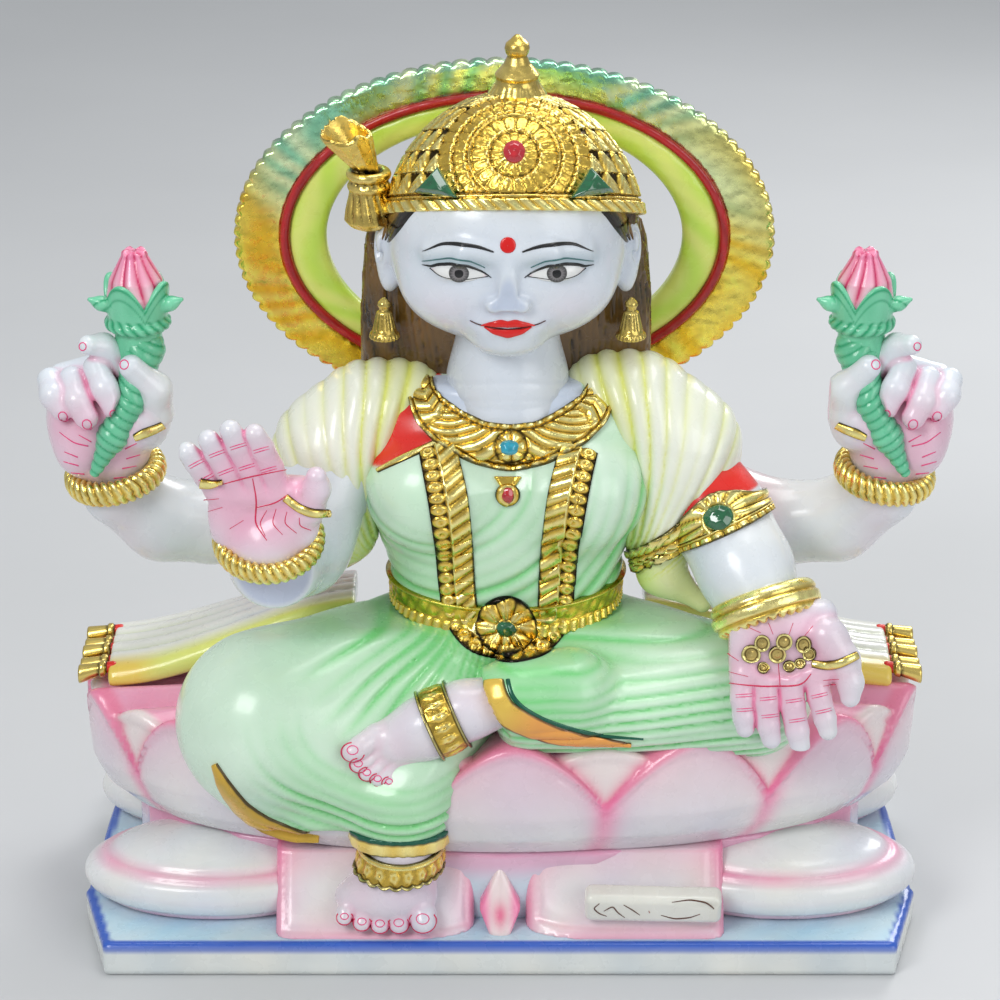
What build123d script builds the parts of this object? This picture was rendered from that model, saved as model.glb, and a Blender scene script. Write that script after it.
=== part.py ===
from build123d import *
import os
from math import atan2, cos, degrees, pi, radians, sin

# A painted and gilded marble statue of a four-armed goddess seated on a lotus throne, with an oval
# halo behind
# the head. Millimetres, +Z up, the figure faces -Y, the origin is under the middle of the plinth.
# RIGHT and LEFT are the figure's own: its right hands are on -X.

RIGHT, LEFT = -1, 1
HALF_DEPTH = 138  # the plinth's half depth, which nothing else passes

PLINTH_HEIGHT = 24
PLINTH_FRONT_HALF, PLINTH_WIDE_HALF, PLINTH_BACK_HALF = 264, 282, 272
PLINTH_CHAMFER_DEPTH = 72

SEAM_HEIGHT = 72  # the lower tier of petals meets the throne here
SEAT_HEIGHT = 150  # the throne's top face
THRONE_PETALS = 14
NOTCH_DEPTH = 30  # how far the gap between two petal tips runs down

WAIST_HEIGHT = 228
SHOULDER_HEIGHT = 338
NECK_X = 5  # the neck and head stand this far to the left of the middle

HALO_CENTRE = (3, 452)
HALO_HALF_WIDTH, HALO_HALF_HEIGHT = 181, 123
HALO_FRONT, HALO_THICKNESS = 58, 11
HALO_SCALLOPS = 96
LINE_OUTER, LINE_WIDTH = (150, 102), 6
BAND_INNER = (119, 81)

WRIST_RADIUS = 25
BANGLE_THICKNESS, BANGLE_HEIGHT = 6, 15
DOWEL_RADIUS, DOWEL_LENGTH = 3, 34

os.makedirs("parts", exist_ok=True)


def side_name(side):
    return "right" if side == RIGHT else "left"


def ellipse_loft(levels):
    """A body through flat ellipses, each (height, centre x, centre y, half width, half depth)."""
    with BuildPart() as body:
        for z, x, y, half_width, half_depth in levels:
            with BuildSketch(Plane.XY.offset(z)):
                with Locations((x, y)):
                    Ellipse(half_width, half_depth)
        loft()
    return body.part


def limb(stations):
    """A bent, tapering limb through round sections, each (x, y, z, radius) and square to the limb's run."""
    points = [Vector(*station[:3]) for station in stations]
    with BuildPart() as body:
        for number, station in enumerate(stations):
            before, after = points[max(number - 1, 0)], points[min(number + 1, len(points) - 1)]
            run = (after - before).normalized()
            across = run.cross(Vector(0.05, 1, 0.1)).normalized()
            with BuildSketch(Plane(origin=station[:3], x_dir=across, z_dir=run)):
                Circle(station[3])
        loft()
    return body.part


def ring_on(centre, axis, radius, thickness, height=None):
    """A bangle: a torus, or a flat band where a height is given, round an axis."""
    with BuildPart() as ring:
        with Locations(Plane(origin=centre, z_dir=axis)):
            if height is None:
                Torus(radius, thickness)
            else:
                Cylinder(radius + thickness, height)
    return ring.part


def less(body, *others):
    """The body with its neighbours cut away, so that mating faces meet; crumbs left by a cut are dropped."""
    near = [solid for other in others for solid in other.solids() if boxes_meet(body, solid)]
    with BuildPart() as cut:
        add(body)
        for solid in near:
            add(solid, mode=Mode.SUBTRACT)
    return solids_over(cut.part, 0.02)


def boxes_meet(first, second):
    """Whether the boxes round two bodies share any room."""
    a, b = first.bounding_box(), second.bounding_box()
    return all(
        low < high
        for low, high in (
            (max(a.min.X, b.min.X), min(a.max.X, b.max.X)),
            (max(a.min.Y, b.min.Y), min(a.max.Y, b.max.Y)),
            (max(a.min.Z, b.min.Z), min(a.max.Z, b.max.Z)),
        )
    )


def solids_over(body, share):
    """The solids that are larger than this share of the largest one."""
    found = body.solids()
    largest = max(solid.volume for solid in found)
    kept = [solid for solid in found if solid.volume > share * largest]
    return grouped(kept)


def grouped(bodies):
    """Several bodies as one, each solid kept separate."""
    return Part(Compound(children=[solid for body in bodies for solid in body.solids()]).wrapped)


def save(name, body):
    body.label = name
    export_step(body, f"parts/{name}.step")


# ---------------------------------------------------------------- plinth and lower tier of petals

with BuildPart() as plinth:
    with BuildSketch():
        with BuildLine():
            outline = Polyline(
                (0, -HALF_DEPTH),
                (PLINTH_FRONT_HALF, -HALF_DEPTH),
                (PLINTH_WIDE_HALF, -HALF_DEPTH + PLINTH_CHAMFER_DEPTH),
                (PLINTH_BACK_HALF, HALF_DEPTH),
                (0, HALF_DEPTH),
            )
            mirror(outline, about=Plane.YZ)
        make_face()
    extrude(amount=PLINTH_HEIGHT)
    chamfer(plinth.faces().sort_by(Axis.Z)[-1].edges(), 1.2)
save("plinth", plinth.part)

lower_core = ellipse_loft(
    [(PLINTH_HEIGHT, 0, 0, 240, 104), (48, 0, 0, 248, 102), (SEAM_HEIGHT, 0, 0, 250, 98)]
)


def front_slab(side, facing):
    """One broad petal of the lower tier, from the seam down to the plinth's edge; facing is -1 at the front."""
    inner, outer = 14, 150
    with BuildPart() as slab:
        with BuildSketch(Plane.YZ.offset(side * inner)):
            with BuildLine():
                foot, lip, top = (facing * 132, PLINTH_HEIGHT), (facing * 132, 30), (facing * 98, SEAM_HEIGHT)
                back = (facing * 60, SEAM_HEIGHT)
                heel = (facing * 60, PLINTH_HEIGHT)
                Line(foot, lip)
                ThreePointArc(lip, (facing * 112, 56), top)
                Polyline(top, back, heel, foot)
            make_face()
        extrude(amount=side * (outer - inner))
    return less(slab.part, lower_core)


front_petals = [front_slab(side, facing) for side in (RIGHT, LEFT) for facing in (-1, 1)]
save("lower_broad_petals", grouped(front_petals))
save("lower_core", less(lower_core))

corner_petals = []
for side in (RIGHT, LEFT):
    for facing in (-1, 1):
        dome = ellipse_loft(
            [
                (PLINTH_HEIGHT, side * 196, facing * 66, 70, 40),
                (42, side * 200, facing * 66, 84, 50),
                (58, side * 196, facing * 60, 78, 44),
                (SEAM_HEIGHT, side * 190, facing * 48, 60, 34),
            ]
        )
        corner_petals.append(less(dome, lower_core, *front_petals))
save("lower_corner_petals", grouped(corner_petals))

tip_parts = []
for facing in (-1, 1):
    with BuildPart() as tip:
        with BuildSketch(Plane.XY.offset(PLINTH_HEIGHT)):
            with Locations((0, facing * 114)):
                Ellipse(13.5, 18)
        with BuildSketch(Plane.XY.offset(SEAM_HEIGHT - 6)):
            with Locations((0, facing * 100)):
                Ellipse(5, 6)
        loft()
    tip_parts.append(less(tip.part, lower_core))
save("lower_petal_tips", grouped(tip_parts))

TABLET_SIZE = (92, 22, 26)
with BuildPart() as tablet:
    with Locations((102, -116, PLINTH_HEIGHT + 20)):
        Box(*TABLET_SIZE)
    fillet(tablet.edges(), 6)
tablet_part = less(tablet.part, lower_core, *front_petals)
save("painted_block", tablet_part)

# ---------------------------------------------------------------- lotus throne

throne_core = ellipse_loft(
    [(SEAM_HEIGHT, 0, 0, 246, 96), (108, 0, 0, 254, 104), (SEAT_HEIGHT, 0, 0, 264, 108)]
)
petal_outer = ellipse_loft(
    [(SEAM_HEIGHT, 0, 0, 252, 101), (92, 0, 0, 266, 118), (122, 0, 0, 278, 124), (160, 0, 0, 289, 124)]
)

# ---------------------------------------------------------------- legs under the skirt

hips = less(
    ellipse_loft(
        [(SEAT_HEIGHT, 2, -14, 92, 62), (188, 3, -16, 92, 58), (WAIST_HEIGHT - 4, 4, -15, 77, 50)]
    )
)
right_leg_part = less(
    ellipse_loft(
        [
            (98, -76, -90, 44, 37),
            (118, -90, -84, 62, 44),
            (144, -112, -76, 92, 52),
            (168, -120, -70, 92, 58),
            (192, -122, -58, 84, 54),
            (206, -124, -50, 52, 38),
        ]
    ),
    throne_core,
    hips,
)
save("right_leg_drape", right_leg_part)
left_leg_part = less(
    ellipse_loft(
        [
            (SEAT_HEIGHT, 92, -62, 100, 46),
            (174, 92, -64, 120, 54),
            (194, 104, -54, 104, 48),
            (208, 112, -46, 64, 34),
        ]
    ),
    throne_core,
    hips,
    right_leg_part,
)
save("left_leg_drape", left_leg_part)
save("hip_drape", hips)
save("throne_core", less(throne_core))

# Petals: the shell outside the core, cut into sectors that touch, each with its two top corners notched away.
petal_bore = ellipse_loft([(SEAT_HEIGHT - 10, 0, 0, 262, 106), (170, 0, 0, 270, 108)])
petal_shell = less(petal_outer, throne_core, petal_bore)
sector = 360 / THRONE_PETALS
petal_solids = []
for number in range(THRONE_PETALS):
    middle = 90 + (number + 0.5) * sector
    start, end = radians(middle - sector / 2), radians(middle + sector / 2)
    stretch = 0.44  # the oval is this deep for its width, so sectors are even along the rim
    reach = 420
    corners = [(0, 0)] + [(reach * cos(a), reach * stretch * sin(a)) for a in (start, (start + end) / 2, end)]
    with BuildPart() as petal:
        add(petal_shell)
        with BuildSketch(Plane.XY.offset(SEAM_HEIGHT)):
            Polygon(*corners, align=None)
        extrude(amount=100, mode=Mode.INTERSECT)
        for edge in (start, end):
            heading = degrees(atan2(stretch * sin(edge), cos(edge)))
            with BuildSketch(Plane.YZ.rotated((0, 0, heading))):
                with BuildLine():
                    Polyline((-22, 162), (22, 162), (0, 162 - NOTCH_DEPTH), close=True)
                make_face()
            extrude(amount=320, mode=Mode.SUBTRACT)
    petal_solids += less(petal.part, right_leg_part, left_leg_part).solids()
save("throne_petals", grouped(petal_solids))

# ---------------------------------------------------------------- feet, anklets and hems

with BuildPart() as right_foot:
    add(
        ellipse_loft(
            [
                (PLINTH_HEIGHT + 10, -76, -118, 32, 15),
                (44, -75, -116, 33, 18),
                (58, -72, -110, 29, 20),
                (76, -70, -102, 23, 20),
                (96, -70, -98, 22, 20),
            ]
        )
    )
    for toe in range(5):
        with Locations((-54 - 11 * toe, -126 + 0.7 * toe * toe, 41)):
            Sphere(8.4 - 0.5 * toe)
right_foot_part = less(right_foot.part, right_leg_part, *front_petals, lower_core, throne_core)
FOOT_LEFT_ANKLE = (-22, -112, 180)
with BuildPart() as left_foot:
    add(limb([(*FOOT_LEFT_ANKLE, 17), (-50, -115, 169, 17.5), (-80, -119, 155, 13)]))
petal_block = grouped(petal_solids)
left_foot_part = less(left_foot.part, right_leg_part, left_leg_part, petal_block)
right_foot_part = less(right_foot_part, petal_block)

right_anklet = less(
    ring_on((-68, -105, 80), (0, -0.2, 1), 25, 5), right_foot_part, right_leg_part, petal_block, throne_core
)
left_anklet = less(
    ring_on((-40, -114, 173), (1, 0.1, 0.42), 19, 4, height=11),
    left_foot_part,
    right_leg_part,
    left_leg_part,
    petal_block,
)
right_foot_part = less(right_foot_part, left_anklet)
save("right_foot", right_foot_part)
save("left_foot", left_foot_part)
save("right_anklet", right_anklet)
save("left_anklet", left_anklet)

with BuildPart() as right_hem:
    with BuildSketch(Plane.XY.offset(91)):
        with Locations((-76, -92)):
            Ellipse(45, 38)
    extrude(amount=7)
right_hem_part = less(right_hem.part, right_foot_part, right_anklet, petal_block, throne_core, right_leg_part)
save("right_hem", right_hem_part)
left_hem_part = less(
    ring_on((-4, -106, 177), (1, 0.1, 0.1), 22, 2.5, height=9), left_leg_part, left_foot_part, right_leg_part
)
save("left_hem", left_hem_part)

# ---------------------------------------------------------------- torso, neck, head and hair

TORSO = [
    (WAIST_HEIGHT - 4, 4, -15, 77, 50),
    (258, 4, -16, 79, 53),
    (292, 4, -19, 92, 58),
    (324, 4, -19, 100, 58),
    (350, 4, -9, 92, 48),
    (374, NECK_X, -4, 58, 36),
]


def grown(levels, wall):
    """The same levels with a wall of this thickness all round."""
    return [(z, x, y, half_width + wall, half_depth + wall) for z, x, y, half_width, half_depth in levels]


torso = ellipse_loft(TORSO)
torso_part = less(torso, hips)
NECK = [(364, NECK_X, -14, 44, 36), (390, NECK_X, -12, 41, 33), (424, NECK_X, -14, 40, 32)]
neck_part = less(ellipse_loft(NECK), torso_part)
head_body = ellipse_loft(
    [
        (410, NECK_X, -40, 15, 12),
        (418, NECK_X, -30, 36, 30),
        (432, NECK_X, -20, 58, 47),
        (452, NECK_X, -14, 74, 57),
        (480, NECK_X, -11, 79, 62),
        (508, NECK_X, -8, 72, 58),
        (534, NECK_X, -4, 50, 42),
        (546, NECK_X, -2, 24, 20),
    ]
)
with BuildPart() as head:
    add(head_body)
    for side in (RIGHT, LEFT):
        with Locations((NECK_X + side * 81, 2, 458)):
            Sphere(11)
        with Locations((NECK_X + side * 79, 0, 446)):
            Sphere(9)
    with Locations((NECK_X, -73, 463)):
        Sphere(8)
head_part = less(head.part, neck_part)
save("head", head_part)
save("neck", neck_part)

# The halo: a scalloped gilded rim, a thin red line and a rounded inner band, three rings that fit
# in one another.


def on_oval(half_width, half_height, angle):
    return (HALO_CENTRE[0] + half_width * cos(angle), HALO_CENTRE[1] + half_height * sin(angle))


HALO_PLANE = Plane(origin=(0, HALO_FRONT, 0), x_dir=(1, 0, 0), z_dir=(0, -1, 0))
with BuildPart() as halo_rim:
    with BuildSketch(HALO_PLANE):
        with BuildLine():
            for scallop in range(HALO_SCALLOPS):
                step = 2 * pi / HALO_SCALLOPS
                root, crest = 1 - 2.2 / HALO_HALF_HEIGHT, 1.0
                start, end = scallop * step, (scallop + 1) * step
                ThreePointArc(
                    on_oval(HALO_HALF_WIDTH * root, HALO_HALF_HEIGHT * root, start),
                    on_oval(HALO_HALF_WIDTH * crest, HALO_HALF_HEIGHT * crest, (start + end) / 2),
                    on_oval(HALO_HALF_WIDTH * root, HALO_HALF_HEIGHT * root, end),
                )
        make_face()
        with Locations(HALO_CENTRE):
            Ellipse(*LINE_OUTER, mode=Mode.SUBTRACT)
    extrude(amount=-HALO_THICKNESS)


def halo_ring(outer, inner, front):
    """An oval ring between two ellipses, from this depth back to the halo's back face."""
    with BuildPart() as ring:
        with BuildSketch(HALO_PLANE.offset(HALO_FRONT - front)):
            with Locations(HALO_CENTRE):
                Ellipse(*outer)
                Ellipse(*inner, mode=Mode.SUBTRACT)
        extrude(amount=-(HALO_THICKNESS + HALO_FRONT - front))
    return ring.part


line_inner = tuple(size - LINE_WIDTH for size in LINE_OUTER)
halo_line = halo_ring(LINE_OUTER, line_inner, HALO_FRONT - 1)
halo_band = halo_ring(line_inner, BAND_INNER, HALO_FRONT)

HAIR = [
    (322, 4, 24, 70, 28),
    (352, 4, 24, 92, 30),
    (384, 4, 22, 99, 32),
    (410, 4, 18, 97, 30),
    (450, 4, 12, 95, 34),
    (486, 5, 8, 88, 40),
    (512, 5, 4, 72, 44),
]
hair_part = less(
    ellipse_loft(HAIR), head_body, head_part, neck_part, torso_part, halo_rim.part, halo_line, halo_band
)

dowels = []
for side in (RIGHT, LEFT):
    with BuildPart() as dowel:
        start = (HALO_CENTRE[0] + side * 36, HALO_FRONT + HALO_THICKNESS - 4, 342)
        with Locations(Plane(origin=start, z_dir=(0, -1, 0))):
            Cylinder(DOWEL_RADIUS, DOWEL_LENGTH, align=(Align.CENTER, Align.CENTER, Align.MIN))
    dowels.append(dowel.part)
dowel_block = grouped(dowels)
torso_part = less(torso_part, dowel_block)
hair_part = less(hair_part, dowel_block)
save("torso", torso_part)
save("hair", hair_part)
save("halo_dowels", dowel_block)
save("halo_rim", less(halo_rim.part, dowel_block))
save("halo_line", less(halo_line, dowel_block))
save("halo_band", less(halo_band, dowel_block))

# ---------------------------------------------------------------- crown and its ornaments

CROWN_X = 9
CROWN_LEAN = 12  # the crown leans back
crown_plane = Plane(
    origin=(CROWN_X, -4, 494), x_dir=(1, 0, 0), z_dir=(0, sin(radians(CROWN_LEAN)), cos(radians(CROWN_LEAN)))
)
CROWN = [(0, 82, 67), (18, 85, 69), (40, 79, 63), (60, 60, 49), (74, 34, 28), (80, 15, 13)]
with BuildPart() as crown:
    for height, half_width, half_depth in CROWN:
        with BuildSketch(crown_plane.offset(height)):
            Ellipse(half_width, half_depth)
    loft()
FINIAL_BASE = 566
with BuildPart() as finial:
    with BuildSketch(Plane.XZ):
        with BuildLine():
            Polyline((0, FINIAL_BASE - 14), (6, FINIAL_BASE - 14), (6, FINIAL_BASE), (13, FINIAL_BASE))
            Spline(
                (13, FINIAL_BASE),
                (21, FINIAL_BASE + 11),
                (13, FINIAL_BASE + 21),
                (6, FINIAL_BASE + 28),
            )
            ThreePointArc((6, FINIAL_BASE + 28), (7.5, FINIAL_BASE + 33), (5.5, FINIAL_BASE + 38))
            Polyline((5.5, FINIAL_BASE + 38), (0, FINIAL_BASE + 42), (0, FINIAL_BASE - 14))
        make_face()
    revolve(axis=Axis.Z)
finial_part = Pos(CROWN_X + 2, 8, 0) * finial.part
halo_parts = (halo_rim.part, halo_line, halo_band)
crown_part = less(crown.part, head_body, head_part, hair_part, finial_part, *halo_parts)
save("crown", crown_part)
save("crown_finial", finial_part)

with BuildPart() as plume:
    for height, x, half_width, half_depth in [
        (478, -86, 8, 7),
        (486, -86, 17, 13),
        (508, -84, 15, 12),
        (516, -86, 9, 8),
        (530, -90, 12, 7),
        (553, -94, 19, 8),
    ]:
        with BuildSketch(Plane.XY.offset(height)):
            with Locations((x, 0)):
                Ellipse(half_width, half_depth)
    loft()
plume_part = less(plume.part, crown_part, head_part, hair_part)
save("crown_plume", plume_part)


def gem(x, y, z, radius, depth, axis):
    """A round cut stone let into its setting."""
    with BuildPart() as stone:
        with Locations(Plane(origin=(x, y, z), z_dir=axis)):
            Cylinder(radius, depth)
        chamfer(stone.edges().filter_by(GeomType.CIRCLE).group_by(SortBy.DISTANCE)[-1], radius * 0.3)
    return stone.part


def setting_stones(stones, *neighbours):
    """Stones with their settings cut away, as one group of separate solids."""
    return grouped([less(stone, *neighbours) for stone in stones])


# ---------------------------------------------------------------- arms, hands and what they hold

arms, hands, bangles = {}, {}, {}
for side in (RIGHT, LEFT):
    arms["rear", side] = limb(
        [
            (side * 112, 26, 286, 24),
            (side * 176, 24, 262, 24),
            (side * 226, 12, 262, 25),
            (side * 257, 0, 298, WRIST_RADIUS),
        ]
    )
arms["front", RIGHT] = limb(
    [(-100, -8, SHOULDER_HEIGHT, 34), (-134, -52, 278, 33), (-148, -96, 288, WRIST_RADIUS)]
)
arms["front", LEFT] = limb(
    [(112, -8, SHOULDER_HEIGHT - 4, 35), (150, -34, 278, 30), (174, -84, 244, WRIST_RADIUS)]
)


def finger(start, end, radius):
    return limb([(*start, radius), (*end, radius * 0.9)])


def flat_palm(centre, across, up, half_width, half_height, half_thickness):
    """The palm: a rounded slab. Across and up are directions in the palm's own face."""
    with BuildPart() as palm:
        with BuildSketch(Plane(origin=centre, x_dir=across, z_dir=Vector(*across).cross(Vector(*up)))):
            RectangleRounded(2 * half_width, 2 * half_height, 0.6 * half_width)
        extrude(amount=half_thickness, both=True)
        fillet(palm.edges(), half_thickness * 0.6)
    return palm.part


# The raised open hand: fingers up, thumb towards the body.
with BuildPart() as raised_hand:
    add(limb([(-148, -102, 300, 23), (-150, -108, 322, 24)]))
    add(flat_palm((-152, -112, 328), (1, 0, 0.12), (-0.12, 0, 1), 30, 30, 12))
    for number in range(4):
        base = Vector(-131 - 14 * number, -112, 352 - 1.5 * number)
        length = (40, 45, 38, 28)[number]
        lean = Vector(-0.10 - 0.08 * number, -0.05, 1).normalized() * length
        add(finger(tuple(base), tuple(base + lean), 8 - 0.3 * number))
    add(finger((-128, -114, 322), (-112, -118, 350), 9))
hands["front", RIGHT] = raised_hand.part

# The lowered open hand: fingers down, thumb away from the body.
with BuildPart() as lowered_hand:
    add(limb([(176, -88, 240, 23), (184, -98, 228, 25)]))
    add(flat_palm((188, -104, 215), (1, 0, 0), (0, -0.45, 0.9), 29, 26, 11))
    for number in range(4):
        base = Vector(168 + 13.5 * number, -112, 200)
        length = (26, 29, 32, 27)[number]
        lean = Vector(0.02, -0.42, -0.9).normalized() * length
        add(finger(tuple(base), tuple(base + lean), 7.6))
    add(finger((212, -100, 222), (224, -108, 200), 8))
hands["front", LEFT] = lowered_hand.part

for side in (RIGHT, LEFT):
    with BuildPart() as fist:
        add(
            ellipse_loft(
                [
                    (300, side * 257, -1, 23, 22),
                    (322, side * 257, -4, 31, 28),
                    (350, side * 262, -8, 40, 28),
                    (370, side * 268, -10, 36, 25),
                    (382, side * 270, -12, 20, 14),
                ]
            )
        )
        add(finger((side * 232, -18, 338), (side * 238, -22, 372), 9))
        add(finger((side * 243, -10, 366), (side * 249, -16, 390), 7))
    hands["rear", side] = fist.part

stems, calyxes, buds = [], [], []
for side in (RIGHT, LEFT):
    stem = limb([(side * 262, -26, 312, 9), (side * 250, -30, 338, 10), (side * 240, -10, 372, 13)])
    calyx = ellipse_loft(
        [
            (374, side * 239, -6, 15, 14),
            (396, side * 238, -5, 21, 18),
            (408, side * 238, -5, 20, 17),
            (420, side * 238, -5, 25, 21),
        ]
    )
    bud = ellipse_loft(
        [
            (412, side * 237, -5, 15, 14),
            (428, side * 237, -5, 20, 19),
            (444, side * 237, -5, 14, 13),
            (456, side * 237, -5, 8, 7.5),
            (466, side * 238, -5, 8.5, 7),
        ]
    )
    buds.append(bud)
    calyxes.append(less(calyx, bud))
    hands["rear", side] = less(hands["rear", side], calyxes[-1], bud)
    stems.append(less(stem, calyxes[-1], bud, hands["rear", side]))

bangle_places = {
    ("rear", RIGHT): ((-257, -1, 304), (-0.1, -0.1, 1)),
    ("rear", LEFT): ((257, -1, 304), (0.1, -0.1, 1)),
    ("front", RIGHT): ((-148, -101, 298), (0, -0.35, 1)),
    ("front", LEFT): ((175, -86, 242), (0.25, -0.55, -0.75)),
}
for key, (centre, axis) in bangle_places.items():
    arm, hand = arms[key], less(hands[key], arms[key])
    hands[key] = hand
    bangle = ring_on(centre, axis, WRIST_RADIUS + 2, BANGLE_THICKNESS, BANGLE_HEIGHT)
    bangles[key] = less(bangle, arm, hand)

shawl_stations = {
    RIGHT: [(-56, -2, 362, 26), (-106, -8, 338, 43), (-114, -24, 292, 42)],
    LEFT: [(66, -2, 362, 26), (114, -8, 334, 45), (116, -22, 296, 40)],
}
lower_body = (hips, right_leg_part, left_leg_part, throne_core)
worn = (torso_part, neck_part, head_part, hair_part)
for key in arms:
    arms[key] = less(arms[key], *worn, *lower_body)
arms["rear", RIGHT] = less(arms["rear", RIGHT], arms["front", RIGHT])
arms["rear", LEFT] = less(arms["rear", LEFT], arms["front", LEFT])

shawls = {}
for side, stations in shawl_stations.items():
    shawls[side] = less(
        limb(stations), *worn, arms["front", side], arms["rear", side], bangles["front", side],
        hands["front", side], *halo_parts,
    )
    save(f"{side_name(side)}_shawl", shawls[side])

armlet_part = less(
    ring_on((148, -30, 288), (0.42, -0.3, -0.85), 31, 3, height=17), arms["front", LEFT], arms["rear", LEFT],
    shawls[LEFT], torso_part,
)
save("left_armlet", armlet_part)
for (position, side), arm in arms.items():
    name = f"{position}_{side_name(side)}"
    save(f"{name}_arm", arm)
    save(f"{name}_hand", less(hands[position, side], *stems, *lower_body))
    save(f"{name}_bangle", bangles[position, side])
save("lotus_stems", grouped([less(stem, bangles["rear", RIGHT], bangles["rear", LEFT]) for stem in stems]))
save("lotus_calyxes", grouped(calyxes))
save("lotus_buds", grouped(buds))

coins = []
for column, row in [(-1, 0), (0, 0), (1, 0), (-0.5, 1), (0.5, 1), (-0.6, -1), (0.8, -1)]:
    with BuildPart() as coin:
        place = (186 + 10 * column, -119 + 3.6 * row, 214 + 8 * row)
        with Locations(Plane(origin=place, z_dir=(0, -0.9, 0.45))):
            Cylinder(4.6, 2)
    coins.append(coin.part)
save("palm_coins", setting_stones(coins, hands["front", LEFT]))

# ---------------------------------------------------------------- shawl ends on the throne, with tassels

for side in (RIGHT, LEFT):
    with BuildPart() as shawl_end:
        with BuildSketch(Plane.XZ.offset(-58)):
            with BuildLine():
                Polyline(
                    (side * 100, SEAT_HEIGHT),
                    (side * 262, SEAT_HEIGHT),
                    (side * 264, SEAT_HEIGHT + 12),
                    (side * 190, SEAT_HEIGHT + 30),
                    (side * 100, SEAT_HEIGHT + 66),
                    close=True,
                )
            make_face()
        extrude(amount=84)
    front = arms["front", side]
    end_part = less(
        shawl_end.part, *lower_body, torso_part, front, arms["rear", side], shawls[side], petal_block,
        hands["front", side], bangles["front", side],
    )
    save(f"{side_name(side)}_shawl_end", end_part)
    tassels = []
    for number in range(5):
        with BuildPart() as tassel:
            start = (side * 264.2, -18 + 16 * number, SEAT_HEIGHT + 16)
            with Locations(Plane(origin=start, z_dir=(side, 0, -0.05))):
                Cylinder(4.2, 22, align=(Align.CENTER, Align.CENTER, Align.MIN))
        tassels.append(tassel.part)
    save(f"{side_name(side)}_tassels", setting_stones(tassels, petal_block, end_part))

# ---------------------------------------------------------------- jewellery on the torso

COLLAR_WALL, CHAIN_WALL = 5, 4
collar_shell = less(ellipse_loft(grown(TORSO, COLLAR_WALL)), torso)
chain_shell = less(ellipse_loft(grown(TORSO, CHAIN_WALL)), torso)

with BuildPart() as collar:
    add(collar_shell)
    with BuildSketch(Plane.XZ):
        with BuildLine():
            outer = ThreePointArc((-62, 392), (NECK_X, 322), (72, 392))
            Line(outer @ 1, (52, 392))
            inner = ThreePointArc((52, 392), (NECK_X, 352), (-42, 392))
            Line(inner @ 1, outer @ 0)
        make_face()
    extrude(amount=120, mode=Mode.INTERSECT)
collar_part = less(collar.part, neck_part, head_part, hair_part, *shawls.values())
save("collar_necklace", collar_part)

with BuildPart() as chain:
    add(chain_shell)
    with BuildSketch(Plane.XZ):
        with BuildLine():
            Polyline((-58, 356), (-36, 262), (-34, 236))
            ThreePointArc((-34, 236), (4, 206), (42, 236))
            Polyline((42, 236), (46, 262), (66, 356), (47, 356), (28, 262), (26, 240))
            ThreePointArc((26, 240), (4, 221), (-18, 240))
            Polyline((-18, 240), (-18, 262), (-38, 356), (-58, 356))
        make_face()
    extrude(amount=120, mode=Mode.INTERSECT)
chain_part = less(chain.part, collar_part, *shawls.values(), neck_part, hips)
save("long_necklace", chain_part)

with BuildPart() as belt:
    with BuildSketch(Plane(origin=(4, -15, WAIST_HEIGHT - 2), x_dir=(1, 0, 0), z_dir=(0, -0.12, 1))):
        Ellipse(84, 58)
    extrude(amount=14)
belt_part = less(belt.part, torso_part, hips, chain_part, *shawls.values(), *arms.values())
save("belt", belt_part)

with BuildPart() as medallion:
    with Locations(Plane(origin=(4, -76, WAIST_HEIGHT + 6), z_dir=(0, -1, 0))):
        Cylinder(19, 8)
medallion_part = less(medallion.part, torso_part, chain_part, belt_part)
save("belt_medallion", medallion_part)

with BuildPart() as pendant:
    with Locations(Plane(origin=(NECK_X, -79, 322), z_dir=(0, -1, 0))):
        Cylinder(8, 8)
pendant_part = less(pendant.part, torso_part, collar_part)
save("collar_pendant", pendant_part)

red_stones = [gem(CROWN_X, -64, 546, 7, 10, (0, -0.75, 0.66)), gem(NECK_X, -84, 322, 3.6, 4, (0, -1, 0))]
green_stones = [
    gem(CROWN_X - 56, -57, 514, 8, 14, (-0.62, -0.75, 0.2)),
    gem(CROWN_X + 56, -57, 514, 8, 14, (0.62, -0.75, 0.2)),
    gem(4, -81, WAIST_HEIGHT + 6, 5, 4, (0, -1, 0)),
]
blue_stones = [gem(NECK_X, -82, 338, 5, 6, (0, -1, 0))]
jewel_settings = (crown_part, head_body, collar_part, pendant_part, medallion_part, torso_part)
save("red_stones", setting_stones(red_stones, *jewel_settings))
save("green_stones", setting_stones(green_stones, *jewel_settings))
save("blue_stone", setting_stones(blue_stones, *jewel_settings))

earrings = []
for side in (RIGHT, LEFT):
    bell = ellipse_loft(
        [
            (410, NECK_X + side * 78, -18, 13, 9),
            (420, NECK_X + side * 78, -18, 11, 8),
            (438, NECK_X + side * 80, -12, 5, 4.5),
        ]
    )
    earrings.append(bell)
save("earrings", setting_stones(earrings, head_part, hair_part, *shawls.values()))
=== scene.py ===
import math
from functools import reduce

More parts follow.
